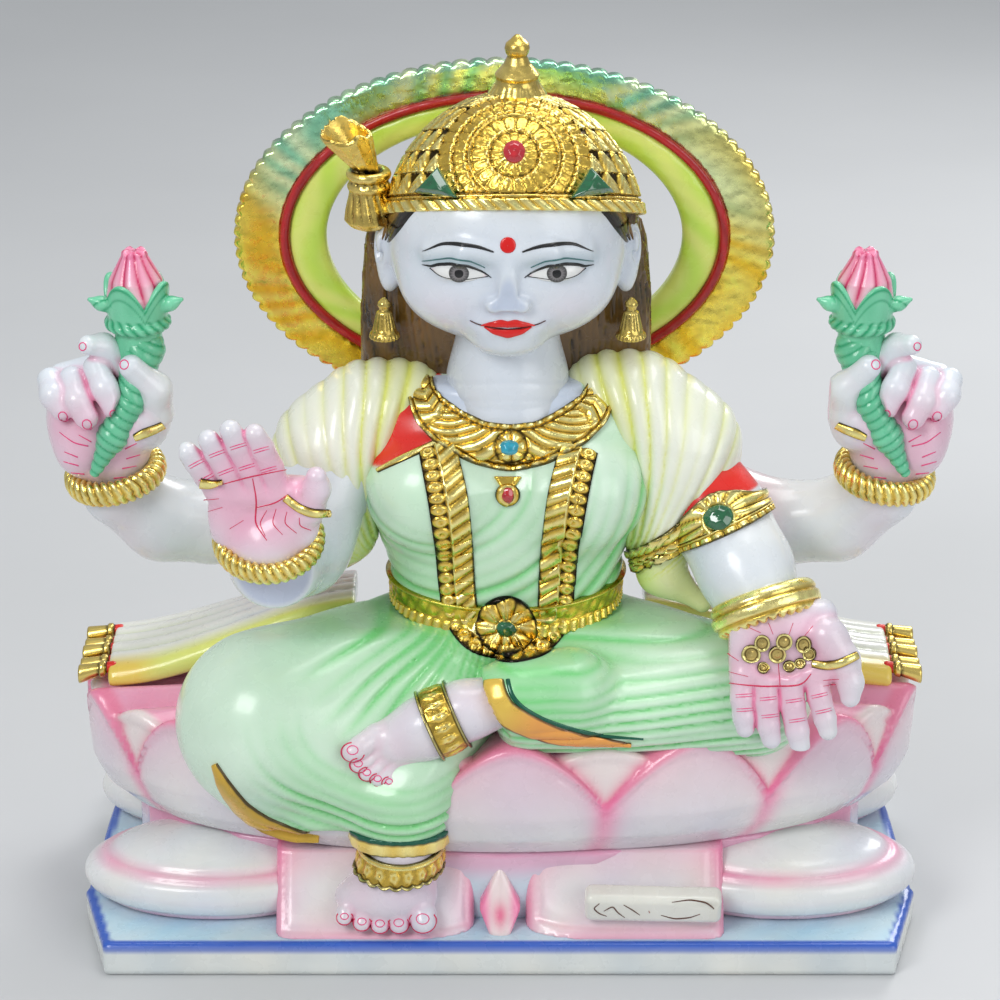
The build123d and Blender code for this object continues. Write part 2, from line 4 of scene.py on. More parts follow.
import bpy
import numpy as np
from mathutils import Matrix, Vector


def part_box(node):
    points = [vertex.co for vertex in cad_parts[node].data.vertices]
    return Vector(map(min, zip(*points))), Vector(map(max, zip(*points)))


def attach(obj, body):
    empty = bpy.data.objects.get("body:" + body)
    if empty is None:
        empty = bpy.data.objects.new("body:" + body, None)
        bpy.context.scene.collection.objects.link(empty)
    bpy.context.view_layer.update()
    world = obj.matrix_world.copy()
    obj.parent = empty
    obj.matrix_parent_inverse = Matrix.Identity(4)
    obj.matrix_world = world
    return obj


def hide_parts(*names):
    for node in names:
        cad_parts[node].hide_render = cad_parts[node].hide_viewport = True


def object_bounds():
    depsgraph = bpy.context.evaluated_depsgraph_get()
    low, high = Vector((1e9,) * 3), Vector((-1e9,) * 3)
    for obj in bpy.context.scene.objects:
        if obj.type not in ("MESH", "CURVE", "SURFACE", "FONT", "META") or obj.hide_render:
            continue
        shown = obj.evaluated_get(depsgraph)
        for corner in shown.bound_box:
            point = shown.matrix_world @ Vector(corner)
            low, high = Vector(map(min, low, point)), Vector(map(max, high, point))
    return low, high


# Looks of the seated goddess statue: carved marble, painted and gilded. The carving is worked out in
# millimetres as signed distance fields (negative inside), meshed, and placed from the boxes of the CAD
# nodes it stands for.

MM = 0.001
RIGHT, LEFT = -1, 1
SIDES = ((RIGHT, "right"), (LEFT, "left"))
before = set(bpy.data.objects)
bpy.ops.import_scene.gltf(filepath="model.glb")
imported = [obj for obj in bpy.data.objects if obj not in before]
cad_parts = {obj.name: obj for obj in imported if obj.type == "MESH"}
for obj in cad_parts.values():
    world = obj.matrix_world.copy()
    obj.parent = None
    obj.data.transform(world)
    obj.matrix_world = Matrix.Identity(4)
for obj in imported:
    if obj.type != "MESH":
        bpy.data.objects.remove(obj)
cad_low, cad_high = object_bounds()

# ------------------------------------------------------------------ landmarks from the CAD frame


def corners(node):
    low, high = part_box(node)
    return np.array(low) / MM, np.array(high) / MM


def at(node, fx=0.5, fy=0.5, fz=0.5):
    """The point at these fractions of a CAD node's box, in millimetres."""
    low, high = corners(node)
    return low + (high - low) * np.array([fx, fy, fz])


def off(origin, *steps):
    """Stations given as offsets from an origin; anything after the third number is kept as it is."""
    return [tuple(np.array(step[:3]) + origin) + tuple(step[3:]) for step in steps]


# ------------------------------------------------------------------ distance fields
# p is 3 rows of coordinates, one column for each point; q is p about a centre, and d a distance.


def column(point):
    return np.asarray(point, np.float32).reshape(3, 1)


def ellipsoid(p, centre, radii):
    q = (p - column(centre)) / column(radii)
    r0 = np.sqrt((q * q).sum(0))
    q /= column(radii)
    r1 = np.sqrt((q * q).sum(0)) + 1e-9
    return r0 * (r0 - 1) / r1


def rod(p, start, end):
    """A tapering rod with round ends between two stations (x, y, z, radius)."""
    a, b = column(start[:3]), column(end[:3])
    along = b - a
    t = np.clip(((p - a) * along).sum(0) / (along * along).sum(), 0, 1)
    gap = p - a - along * t
    return np.sqrt((gap * gap).sum(0)) - (start[3] + (end[3] - start[3]) * t)


def smin(a, b, k):
    h = np.maximum(k - np.abs(a - b), 0) / k
    return np.minimum(a, b) - h * h * k * 0.25


def smax(a, b, k):
    return -smin(-a, -b, k)


def blend_all(parts, k):
    return reduce(lambda one, other: smin(one, other, k), parts)


def limb(p, stations, k=4.0):
    """Rods from station to station, blended where they meet."""
    return blend_all([rod(p, start, end) for start, end in zip(stations, stations[1:])], k)


def drum(p, levels, exponent=2.0):
    """An upright body with oval sections (z, x, y, half width, half depth), open-ended in z."""
    table = np.array(levels, float)
    z = p[2]
    x, y, w, h = (np.interp(z, table[:, 0], table[:, i]).astype(np.float32) for i in (1, 2, 3, 4))
    u, v = (p[0] - x) / w, (p[1] - y) / h
    rho = (np.abs(u) ** exponent + np.abs(v) ** exponent) ** (1 / exponent)
    return (rho - 1) * np.minimum(w, h)


def axes_about(z_axis, x_axis):
    """Unit axes x, y and z: z along the axis given, x as near to the other as it can be."""
    z = np.array(z_axis, float) / np.linalg.norm(z_axis)
    x = np.array(x_axis, float)
    x -= z * x.dot(z)
    x /= np.linalg.norm(x)
    return x, np.cross(z, x), z


def turned(p, centre, x_axis, z_axis):
    """Coordinates in a frame at centre with these axes."""
    rows = np.array(axes_about(z_axis, x_axis), np.float32)
    return rows @ (p - column(centre))


def slab(q, halves, rounding):
    inner = np.abs(q) - (column(halves) - rounding)
    outside = np.sqrt((np.maximum(inner, 0) ** 2).sum(0))
    return outside + np.minimum(inner.max(0), 0) - rounding


def smooth(low, high, value):
    t = np.clip((value - low) / (high - low), 0, 1)
    return t * t * (3 - 2 * t)


def hump(value, middle, width):
    """A bell curve: 1 at the middle, falling to either side."""
    return np.exp(-(((value - middle) / width) ** 2))


def highest(*heights):
    return reduce(np.maximum, heights)


def half_round(t):
    """1 in the middle of a band, 0 at its edges."""
    return np.sqrt(np.clip(1 - t ** 2, 0, 1))


def polar(x, y):
    """The angle round an upright axis and the distance from it."""
    return np.arctan2(y, x), np.sqrt(x ** 2 + y ** 2)


def round_grid(around, first, last, count):
    """Angles all round against even steps from first to last."""
    return np.meshgrid(
        np.linspace(0, 2 * np.pi, around, endpoint=False), np.linspace(first, last, count), indexing="ij"
    )


def pleat(u, power=0.8):
    """0 in the groove at each whole number, 1 on the ridge between."""
    return np.abs(np.sin(np.pi * u)) ** power


GROOVE_DEPTHS = np.random.default_rng(5).uniform(0.15, 1.0, 97).astype(np.float32)


def groove(u, power=0.9):
    """Cloth folds: a groove at each whole number, every one with a depth of its own, up to 1."""
    own = GROOVE_DEPTHS[np.round(u).astype(int) % len(GROOVE_DEPTHS)]
    return own * (1 - pleat(u, power))


WAVES = np.random.default_rng(11).normal(size=(5, 3)).astype(np.float32)


def ripple(p, scale):
    """A smooth, seeded unevenness from -1 to 1 that repeats about every scale millimetres."""
    total = 0
    for number, wave in enumerate(WAVES):
        total = total + np.sin((wave[:, None] * p).sum(0) * 2 / scale + number * 1.7)
    return total / len(WAVES)


# ------------------------------------------------------------------ meshing

CORNERS = np.array([(i, j, k) for i in (0, 1) for j in (0, 1) for k in (0, 1)])
EDGES = [
    (a, b) for a in range(8) for b in range(a + 1, 8) if np.abs(CORNERS[a] - CORNERS[b]).sum() == 1
]


def in_chunks(shape, p, size=150000):
    out = np.empty(p.shape[1], np.float32)
    for start in range(0, p.shape[1], size):
        out[start : start + size] = shape(p[:, start : start + size])
    return out


def sampled(shape, low, high, step):
    """The field on a grid: coarsely everywhere, finely only near the surface."""
    ratio = 4
    count = np.ceil((np.array(high) - low) / step / ratio).astype(int) + 1
    fine = (count - 1) * ratio + 1
    axes = [low[i] + step * ratio * np.arange(count[i]) for i in range(3)]
    grid = np.stack([g.ravel() for g in np.meshgrid(*axes, indexing="ij")]).astype(np.float32)
    coarse = in_chunks(shape, grid).reshape(count)
    near = np.abs(coarse) < step * ratio * 2.4
    for axis in range(3):
        near = near | np.roll(near, -1, axis)
    index = [np.minimum(np.arange(fine[i]) // ratio, count[i] - 1) for i in range(3)]
    values = coarse[np.ix_(*index)].copy()
    mask = near[np.ix_(*index)]
    where = np.argwhere(mask)
    points = (where * step + np.array(low)).T.astype(np.float32)
    values[mask] = in_chunks(shape, points)
    for axis in range(3):
        for end in (0, -1):
            wall = [slice(None)] * 3
            wall[axis] = end
            values[tuple(wall)] = np.maximum(values[tuple(wall)], step * 0.5)
    return values


def gradient(shape, p, eps=0.35):
    out = np.empty_like(p)
    for axis in range(3):
        step = np.zeros((3, 1), np.float32)
        step[axis] = eps
        out[axis] = in_chunks(shape, p + step) - in_chunks(shape, p - step)
    return out / (np.sqrt((out * out).sum(0)) + 1e-9)


def surface(shape, low, high, step):
    """Vertices (3 rows, millimetres) and quads of the surface of a field, by surface nets."""
    low = np.array(low, float)
    values = sampled(shape, low, high, step)
    inside = values < 0
    cell_shape = np.array(values.shape) - 1
    total = np.zeros(cell_shape, np.uint8)
    for i, j, k in CORNERS:
        total += inside[i : cell_shape[0] + i, j : cell_shape[1] + j, k : cell_shape[2] + k]
    active = (total > 0) & (total < 8)
    cells = np.argwhere(active)
    number = np.full(active.shape, -1, np.int32)
    number[active] = np.arange(len(cells))
    at_corner = values[tuple((cells[:, None] + CORNERS).transpose(2, 0, 1))]
    summed, crossings = np.zeros((len(cells), 3)), np.zeros(len(cells))
    for a, b in EDGES:
        va, vb = at_corner[:, a], at_corner[:, b]
        cross = (va < 0) != (vb < 0)
        t = np.where(cross, va / np.where(cross, va - vb, 1), 0)
        summed += cross[:, None] * (CORNERS[a] + t[:, None] * (CORNERS[b] - CORNERS[a]))
        crossings += cross
    verts = (low + step * (cells + summed / crossings[:, None])).T.astype(np.float32)
    quads = []
    for axis in range(3):
        b, c = (axis + 1) % 3, (axis + 2) % 3
        first = [slice(1, -1)] * 3
        second = [slice(1, -1)] * 3
        first[axis], second[axis] = slice(0, -1), slice(1, None)
        near, far = inside[tuple(first)], inside[tuple(second)]
        start = np.ones(3, int)
        start[axis] = 0
        edge = np.argwhere(near != far)
        leaving = near[tuple(edge.T)]
        edge = edge + start
        eb, ec = np.eye(3, dtype=int)[b], np.eye(3, dtype=int)[c]
        ring = [number[tuple((edge - d).T)] for d in (0 * eb, eb, eb + ec, ec)]
        quad = np.stack(ring, 1)
        quad[~leaving] = quad[~leaving][:, ::-1]
        quads.append(quad)
    quads = np.concatenate(quads)
    normal = gradient(shape, verts)
    reach = np.clip(in_chunks(shape, verts), -0.6 * step, 0.6 * step)
    verts = verts - normal * reach
    return verts, quads[:, ::-1]


def mesh_object(name, verts, quads, tint, gild):
    """A smooth-shaded mesh from vertices (3 rows, millimetres) and quads, with its paint as attributes."""
    mesh = bpy.data.meshes.new(name)
    mesh.vertices.add(verts.shape[1])
    mesh.vertices.foreach_set("co", (verts.T * MM).astype(np.float32).ravel())
    quads = np.asarray(quads, np.int32)
    mesh.loops.add(quads.size)
    mesh.loops.foreach_set("vertex_index", quads.ravel())
    mesh.polygons.add(len(quads))
    mesh.polygons.foreach_set("loop_start", np.arange(0, quads.size, quads.shape[1], dtype=np.int32))
    mesh.polygons.foreach_set("use_smooth", np.ones(len(quads), bool))
    mesh.update(calc_edges=True)
    mesh.validate()
    colour = np.ones((verts.shape[1], 4), np.float32)
    colour[:, :3] = tint.T
    layer = mesh.attributes.new("tint", "FLOAT_COLOR", "POINT")
    layer.data.foreach_set("color", colour.ravel())
    layer = mesh.attributes.new("gild", "FLOAT", "POINT")
    layer.data.foreach_set("value", gild.astype(np.float32))
    thing = bpy.data.objects.new(name, mesh)
    bpy.context.scene.collection.objects.link(thing)
    return thing


def finished(thing, material, nodes):
    thing.data.materials.append(material)
    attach(thing, "root")
    if nodes:
        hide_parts(*nodes)
    return thing


def sculpt(name, shape, low, high, step, paint, material, nodes):
    """Meshes a field in a box and paints it: paint(p, crease) gives colours, or colours and gilding."""
    verts, quads = surface(shape, low, high, step)
    normal = gradient(shape, verts)
    depth = 2.2
    # How deep each vertex lies in a hollow, from 0 to 1: an occlusion estimate that the paints turn into
    # painted shade in creases and hollows.
    crease_shade = np.clip(1 - in_chunks(shape, verts + normal * depth) / depth, 0, 1)
    painted = paint(verts, crease_shade)
    tint, gild = painted if isinstance(painted, tuple) else (painted, np.zeros(verts.shape[1]))
    return finished(mesh_object(name, verts, quads, tint, gild), material, nodes)


def carve(name, shape, node, below, above, step, paint, material=None):
    """Sculpts what stands for one CAD node, in the node's box widened by below and above."""
    low, high = corners(node)
    return sculpt(name, shape, low - below, high + above, step, paint, material or marble, [node])


def march(shape, starts, heading, far=140.0):
    """Where rays from these points meet the surface of a field."""
    p = starts.astype(np.float32).copy()
    travelled = np.zeros(p.shape[1], np.float32)
    for _ in range(48):
        d = in_chunks(shape, p)
        move = np.where(travelled < far, 0.75 * d, 0)
        travelled += move
        p += heading * move
    return p


# ------------------------------------------------------------------ colours and materials


def srgb(*rgb):
    c = np.array(rgb, float)
    return np.where(c < 0.04045, c / 12.92, ((c + 0.055) / 1.055) ** 2.4).reshape(3, 1)


def mixed(a, b, weight):
    """a and b by weight; a plain colour is spread over the grid when the weights lie on one."""
    if np.ndim(weight) == 2:
        a, b = (c.reshape(3, 1, 1) if np.shape(c) == (3, 1) else c for c in (a, b))
    return a * (1 - weight) + b * weight


SKIN = srgb(0.83, 0.87, 0.93)
SKIN_SHADE = srgb(0.66, 0.72, 0.84)
WHITE = srgb(0.93, 0.93, 0.90)
LILAC = srgb(0.80, 0.78, 0.87)
PINK = srgb(0.95, 0.50, 0.68)
HOT_PINK = srgb(0.93, 0.28, 0.52)
BLUSH = srgb(0.93, 0.72, 0.80)
MINT = srgb(0.84, 0.95, 0.86)
GREEN = srgb(0.47, 0.84, 0.50)
LEAF = srgb(0.10, 0.62, 0.42)
LEAF_PALE = srgb(0.52, 0.86, 0.70)
DARK_GREEN = srgb(0.03, 0.36, 0.27)
YELLOW = srgb(0.88, 0.90, 0.42)
LIME = srgb(0.82, 0.95, 0.36)
RED = srgb(0.90, 0.16, 0.12)
LINE_RED = srgb(0.86, 0.14, 0.34)
GOLD = srgb(0.93, 0.78, 0.34)
GOLD_PALE = srgb(1.0, 0.94, 0.62)
GOLD_DARK = srgb(0.25, 0.19, 0.06)
SKY = srgb(0.70, 0.86, 0.94)
BLUE = srgb(0.05, 0.32, 0.75)
BLACK = srgb(0.05, 0.05, 0.06)
HAIR = srgb(0.47, 0.34, 0.14)
HAIR_DARK = srgb(0.10, 0.08, 0.05)
MINT_CLOTH = mixed(MINT, WHITE, 0.25)


def new_material(name):
    material = bpy.data.materials.new(name)
    material.use_nodes = True
    return material, material.node_tree, material.node_tree.nodes["Principled BSDF"]


def node(tree, kind, **settings):
    made = tree.nodes.new(kind)
    for key, value in settings.items():
        if key.startswith("in_"):
            made.inputs[key[3:].replace("_", " ")].default_value = value
        else:
            setattr(made, key, value)
    return made


def noise(tree, scale, detail=4.0):
    where = node(tree, "ShaderNodeTexCoord")
    made = node(tree, "ShaderNodeTexNoise", in_Scale=scale, in_Detail=detail)
    tree.links.new(where.outputs["Object"], made.inputs["Vector"])
    return made.outputs["Fac"]


def spread(tree, value, low, high):
    made = node(tree, "ShaderNodeMapRange")
    made.inputs["From Min"].default_value = 0.3
    made.inputs["From Max"].default_value = 0.7
    made.inputs["To Min"].default_value = low
    made.inputs["To Max"].default_value = high
    tree.links.new(value, made.inputs["Value"])
    return made.outputs["Result"]


def shaded(tree, colour, factor):
    """colour times a varying grey factor."""
    made = node(tree, "ShaderNodeMix", data_type="RGBA", blend_type="MULTIPLY")
    made.inputs["Factor"].default_value = 1.0
    tree.links.new(colour, made.inputs["A"])
    tree.links.new(factor, made.inputs["B"])
    return made.outputs["Result"]


def bumped(tree, shader, layers):
    """Bump layers (height socket, strength, distance in metres), one on another."""
    normal = None
    for height, strength, distance in layers:
        made = node(tree, "ShaderNodeBump", in_Strength=strength, in_Distance=distance)
        tree.links.new(height, made.inputs["Height"])
        if normal is not None:
            tree.links.new(normal, made.inputs["Normal"])
        normal = made.outputs["Normal"]
    tree.links.new(normal, shader.inputs["Normal"])


def gilt_tone(height, pale, dark):
    """Gold, pale on the ridges and dark in the cuts; pale and dark are (from, to) ranges of height."""
    # Pale gold on the ridges is a painted highlight and dark gold in the cuts is painted shade.
    return mixed(GOLD_DARK, mixed(GOLD, GOLD_PALE, smooth(*pale, height)), smooth(*dark, height))


def painted_marble():
    """Polished marble under thin paint, its colour from the tint attribute, gilded where gild is 1."""
    material, tree, shader = new_material("painted marble")
    tint = node(tree, "ShaderNodeAttribute", attribute_name="tint")
    gild = node(tree, "ShaderNodeAttribute", attribute_name="gild")
    cloud = spread(tree, noise(tree, 22.0), 0.94, 1.03)
    colour = shaded(tree, tint.outputs["Color"], cloud)
    tree.links.new(colour, shader.inputs["Base Color"])
    tree.links.new(gild.outputs["Fac"], shader.inputs["Metallic"])
    tree.links.new(spread(tree, noise(tree, 60.0), 0.20, 0.36), shader.inputs["Roughness"])
    shader.inputs["Subsurface Weight"].default_value = 0.12
    shader.inputs["Subsurface Radius"].default_value = (1.0, 0.9, 0.8)
    shader.inputs["Subsurface Scale"].default_value = 0.004
    shader.inputs["Coat Weight"].default_value = 0.35
    shader.inputs["Coat Roughness"].default_value = 0.12
    bumped(tree, shader, [(noise(tree, 45.0, 2.0), 0.12, 0.002), (noise(tree, 700.0, 2.0), 0.06, 0.0004)])
    return material


def gilding():
    """Gold leaf over carving, its tone from the tint attribute."""
    material, tree, shader = new_material("gold leaf")
    tint = node(tree, "ShaderNodeAttribute", attribute_name="tint")
    colour = shaded(tree, tint.outputs["Color"], spread(tree, noise(tree, 130.0), 0.88, 1.15))
    tree.links.new(colour, shader.inputs["Base Color"])
    shader.inputs["Metallic"].default_value = 1.0
    tree.links.new(spread(tree, noise(tree, 180.0), 0.16, 0.38), shader.inputs["Roughness"])
    shader.inputs["Coat Weight"].default_value = 0.2
    bumped(tree, shader, [(noise(tree, 260.0, 3.0), 0.35, 0.001), (noise(tree, 1200.0, 2.0), 0.12, 0.0004)])
    return material


def gem_glass(name, colour):
    material, tree, shader = new_material(name)
    rgb = node(tree, "ShaderNodeRGB")
    rgb.outputs[0].default_value = (*colour.ravel(), 1)
    tree.links.new(
        shaded(tree, rgb.outputs[0], spread(tree, noise(tree, 300.0), 0.75, 1.25)),
        shader.inputs["Base Color"]
    )
    tree.links.new(spread(tree, noise(tree, 200.0), 0.03, 0.10), shader.inputs["Roughness"])
    shader.inputs["Coat Weight"].default_value = 1.0
    shader.inputs["Specular IOR Level"].default_value = 0.8
    bumped(tree, shader, [(noise(tree, 500.0, 1.0), 0.05, 0.0003)])
    return material


marble = painted_marble()
gold = gilding()

# ------------------------------------------------------------------ base: plinth, lower petals

plinth_low, plinth_high = corners("plinth")
PLINTH_TOP = plinth_high[2]
CORNER_CLIP = -66
SEAM = corners("lower_core")[1][2]  # the height where the two tiers meet


def plinth_outline(p):
    """Distance in plan from the outline: the front corners are clipped, the sides taper to the back."""
    half, from_clip = plinth_high[0], p[1] - CORNER_CLIP
    side = np.abs(p[0]) - np.where(from_clip < 6, half + from_clip * 0.25, half - from_clip * 0.049)
    return highest(side, plinth_low[1] - p[1], p[1] - plinth_high[1])


def plinth_shape(p):
    rough = 0.35 * ripple(p, 9.0)
    upright = np.abs(p[2] - PLINTH_TOP / 2) - PLINTH_TOP / 2
    return smax(plinth_outline(p) + np.maximum(rough, 0), upright, 3.0)


def plinth_paint(p, crease_shade):
    top = smooth(PLINTH_TOP - 3.2, PLINTH_TOP - 1.2, p[2])
    edge = plinth_outline(p)
    body = mixed(WHITE, srgb(0.80, 0.84, 0.86), 0.5 + 0.5 * ripple(p, 26.0))
    sky = mixed(SKY, WHITE, 0.25 + 0.25 * ripple(p, 18.0))
    line = smooth(-7.5, -5.0, edge + 0.8 * ripple(p, 14.0)) * smooth(PLINTH_TOP - 6.5, PLINTH_TOP - 3.5, p[2])
    return mixed(mixed(body, sky, top), BLUE, line * 0.95)


carve("plinth_carving", plinth_shape, "plinth", 3, 3, 3.0, plinth_paint)

corner_high = corners("lower_corner_petals")[1]
CORNER_WIDE, CORNER_DEEP = 91, 53
CORNER_PLACE = np.array([corner_high[0] - CORNER_WIDE - 1, CORNER_DEEP + 2 - corner_high[1], PLINTH_TOP + 17])


def corners_shape(p):
    """Four drooping corner petals alike: a flattened dome with a rolled lip outside a groove."""
    q = p.copy()
    q[0], q[1] = np.abs(p[0]), -np.abs(p[1])
    dome = ellipsoid(q, CORNER_PLACE, (CORNER_WIDE, CORNER_DEEP, 30))
    q = q - column(CORNER_PLACE)
    rho = np.sqrt((q[0] / CORNER_WIDE) ** 2 + (q[1] / CORNER_DEEP) ** 2)
    lip = 1.9 * hump(rho, 0.80, 0.035) + 1.2 * hump(rho, 0.90, 0.03)
    return smax(dome + lip, PLINTH_TOP - 1 - p[2], 2.0)


def corners_paint(p, crease_shade):
    x, y = np.abs(p[0]) - CORNER_PLACE[0], np.abs(p[1]) + CORNER_PLACE[1]
    rho = np.sqrt((x / CORNER_WIDE) ** 2 + (y / CORNER_DEEP) ** 2)
    body = mixed(srgb(0.87, 0.89, 0.92), WHITE, 0.5 + 0.5 * ripple(p, 30.0))
    edge = hump(rho, 0.84, 0.07) * (0.55 + 0.25 * ripple(p, 25.0))
    rim = smooth(0.99, 1.04, rho + (p[2] < PLINTH_TOP + 5) * 0.1) * 0.5
    return mixed(mixed(body, PINK, np.clip(edge, 0, 1)), HOT_PINK, rim * 0.5)


carve("corner_petals", corners_shape, "lower_corner_petals", 4, 4, 2.3, corners_paint)

broad_high = corners("lower_broad_petals")[1]
BROAD_INNER, BROAD_OUTER = broad_high[0] * 0.115, broad_high[0]


def up_tier(p):
    """0 at the plinth's top, 1 at the seam between the tiers."""
    return np.clip((p[2] - PLINTH_TOP) / (SEAM - PLINTH_TOP), 0, 1)


def sloped_front(p, reach):
    """A face that falls from the seam out to reach at the plinth's top, in a hollow curve."""
    return reach - (reach - 96) * up_tier(p) ** 0.8


def broad_shape(p):
    x, y = np.abs(p[0]), np.abs(p[1])
    # the petal's plan outline: rounded towards the middle, straight on the outside
    span = (BROAD_OUTER - BROAD_INNER) / 2
    from_middle = x - BROAD_INNER - span
    u = from_middle / span
    reach = broad_high[1] - np.where(u < 0, 15 * np.abs(u) ** 4, 2.0 * np.abs(u) ** 4)
    front = y - sloped_front(p, reach)
    edge = np.minimum(span - np.abs(from_middle), (reach - y) * 1.1)
    # the front right petal, under the foot, has a finer lip
    lip = np.where((p[0] < 0) & (p[1] < 0), hump(edge, 6, 2.0), 1.5 * hump(edge, 9, 2.2))
    side = np.abs(from_middle) - span
    d = smax(front * 0.8, side, 8.0)
    return smax(smax(d + lip, p[2] - SEAM - 1, 2.0), PLINTH_TOP - 1 - p[2], 1.5)


def broad_paint(p, crease_shade):
    x, y = np.abs(p[0]), np.abs(p[1])
    edge = np.minimum(np.minimum(x - BROAD_INNER, BROAD_OUTER - x), (broad_high[1] - y) * 1.3)
    body = mixed(srgb(0.88, 0.89, 0.92), WHITE, 0.5 + 0.5 * ripple(p, 24.0))
    glow = np.exp(-np.maximum(edge, 0) / 11.0) * 0.75
    upper = smooth(SEAM - 22, SEAM, p[2]) * 0.25
    # The hot pink added in the hollows is painted shade.
    return mixed(mixed(body, PINK, np.clip(glow + upper, 0, 0.85)), HOT_PINK, crease_shade * 0.4)


carve("broad_petals", broad_shape, "lower_broad_petals", 4, 4, 2.3, broad_paint)


def tips_shape(p):
    x, y = np.abs(p[0]), np.abs(p[1])
    reach = corners("lower_petal_tips")[1][1]
    front = y - (reach - 9 - (reach - 104) * up_tier(p))
    width = 13.5 * np.clip(1.05 - np.abs(p[2] - PLINTH_TOP - 14) / 28, 0.05, 1)
    ridge = 3.5 * (1 - x / 14)
    d = smax(front - ridge, x - width, 3.0)
    return smax(d, PLINTH_TOP - 1 - p[2], 1.5)


def tips_paint(p, crease_shade):
    centre = np.exp(-((p[0] / 5.0) ** 2) - ((p[2] - PLINTH_TOP - 12) / 7.0) ** 2)
    edge = smooth(4, 11, np.abs(p[0])) * 0.75
    return mixed(mixed(WHITE, PINK, np.clip(edge + 0.2, 0, 1)), HOT_PINK, centre * 0.8)


carve("petal_tips", tips_shape, "lower_petal_tips", 3, 3, 1.4, tips_paint)

core_high = corners("lower_core")[1]


def lower_core_shape(p):
    rho = np.sqrt((p[0] / core_high[0]) ** 2 + (p[1] / core_high[1]) ** 2)
    petal = 2.0 * np.abs(np.sin(12 * np.arctan2(p[1] / 0.42, p[0])))
    return smax((rho - 1) * core_high[1] + petal, np.abs(p[2] - 48) - 25, 3.0)


def lower_core_paint(p, crease_shade):
    # Pink towards the top is the paint; the pink added in the hollows is painted shade.
    return mixed(mixed(SKY, WHITE, 0.4), PINK, smooth(SEAM - 25, SEAM - 4, p[2]) * 0.55 + crease_shade * 0.4)


carve("lower_drum", lower_core_shape, "lower_core", 4, 4, 3.2, lower_core_paint)

# ------------------------------------------------------------------ lotus throne

throne_low, throne_high = corners("throne_petals")
PETALS = 14
SECTOR = 2 * math.pi / PETALS
PETAL_PHASE = math.radians(-75.1)
THRONE_PROFILE = [
    (66, 246, 96), (76, 262, 108), (90, 275, 118), (108, 283, 122.5), (130, 285, 122), (150, 286, 120),
    (166, 287, 119)
]


def throne_oval(p):
    """Distance outside the throne's bulging side, and the angle round it."""
    table = np.array(THRONE_PROFILE, float)
    wide = np.interp(p[2], table[:, 0], table[:, 1]).astype(np.float32)
    deep = np.interp(p[2], table[:, 0], table[:, 2]).astype(np.float32)
    u, v = p[0] / wide, p[1] / deep
    rho = np.sqrt(u * u + v * v)
    angle = np.arctan2(v, u)
    local = np.sqrt((wide * np.cos(angle)) ** 2 + (deep * np.sin(angle)) ** 2)
    return (rho - 1) * local * 0.92, angle


def petal_place(angle, shift):
    """-1 to 1 across a petal; shift 0 for the front row, 0.5 for the petals behind."""
    turns = (angle - PETAL_PHASE) / SECTOR + shift
    return (turns - np.floor(turns)) * 2 - 1


def petal_row(p, shift, inset, tip, drop, bulge):
    """A row of petals whose tips reach up to tip and whose sides meet drop lower: the field, the place
    across a petal and the depth below its edge."""
    d, angle = throne_oval(p)
    u = petal_place(angle, shift)
    arch = tip - drop * np.abs(u) ** 1.7
    side = d + inset - bulge * (1 - u * u) * smooth(60, 100, p[2])
    edge = arch - p[2]
    lip = 1.3 * hump(edge - 8 - 4 * (1 - np.abs(u)), 0, 2.2)
    rolled = 1.2 * hump(edge, 3, 3.0)
    return smax(side + lip - rolled, -edge, 6.0), u, edge


FRONT_ROW, BACK_ROW = (0.0, 5.0, 161.0, 46.0, 5.0), (0.5, 9.0, 156.0, 26.0, 3.0)


def throne_shape(p):
    front, _, _ = petal_row(p, *FRONT_ROW)
    behind, _, _ = petal_row(p, *BACK_ROW)
    d, _ = throne_oval(p)
    seat = smax(d + 13, p[2] - 147 - 2.0 * ripple(p, 40.0), 6.0)
    body = np.minimum(np.minimum(front, behind), seat)
    return smax(body, throne_low[2] - 1 - p[2], 5.0)


def throne_paint(p, crease_shade):
    _, u, edge = petal_row(p, *FRONT_ROW)
    body = mixed(LILAC, WHITE, 0.62 + 0.25 * ripple(p, 34.0))
    body = mixed(body, BLUSH, 0.30 * smooth(90, 140, p[2]))
    d, _ = throne_oval(p)
    on_front = smooth(-1.5, 1.5, edge)
    near_edge = np.exp(-np.maximum(edge, 0) / 10.0) * 0.55 + hump(1 - np.abs(u), 0, 0.16) * 0.55
    front = mixed(body, PINK, np.clip(near_edge, 0, 0.85))
    front = mixed(front, HOT_PINK, np.clip(hump(edge, 1.0, 3.0) * 0.45, 0, 1))
    behind = mixed(
        mixed(WHITE, BLUSH, 0.25), HOT_PINK, np.clip(np.exp(-np.maximum(-edge, 0) / 5.0) * 0.8, 0, 1)
    )
    colour = mixed(behind, front, on_front)
    seat = mixed(BLUSH, PINK, 0.35 + 0.25 * ripple(p, 22.0))
    inner = smooth(-16, -9, d)
    # The hot pink added in the hollows is painted shade.
    return mixed(seat, mixed(colour, HOT_PINK, crease_shade * 0.35), inner)


sculpt(
    "throne_lotus", throne_shape, (*(throne_low[:2] - 5), throne_low[2] - 4), throne_high + 5, 2.8,
    throne_paint, marble, ["throne_petals", "throne_core"]
)

# ------------------------------------------------------------------ skirt over hips and legs

BELT = at("belt_medallion")
right_knee = at("right_leg_drape", 0.30, 0.46, 0.55)
right_hem = at("right_leg_drape", 0.74, 0.27, 0.0)
left_knee = at("left_leg_drape", 0.83, 0.46, 0.50)
hips_mid = at("hip_drape")


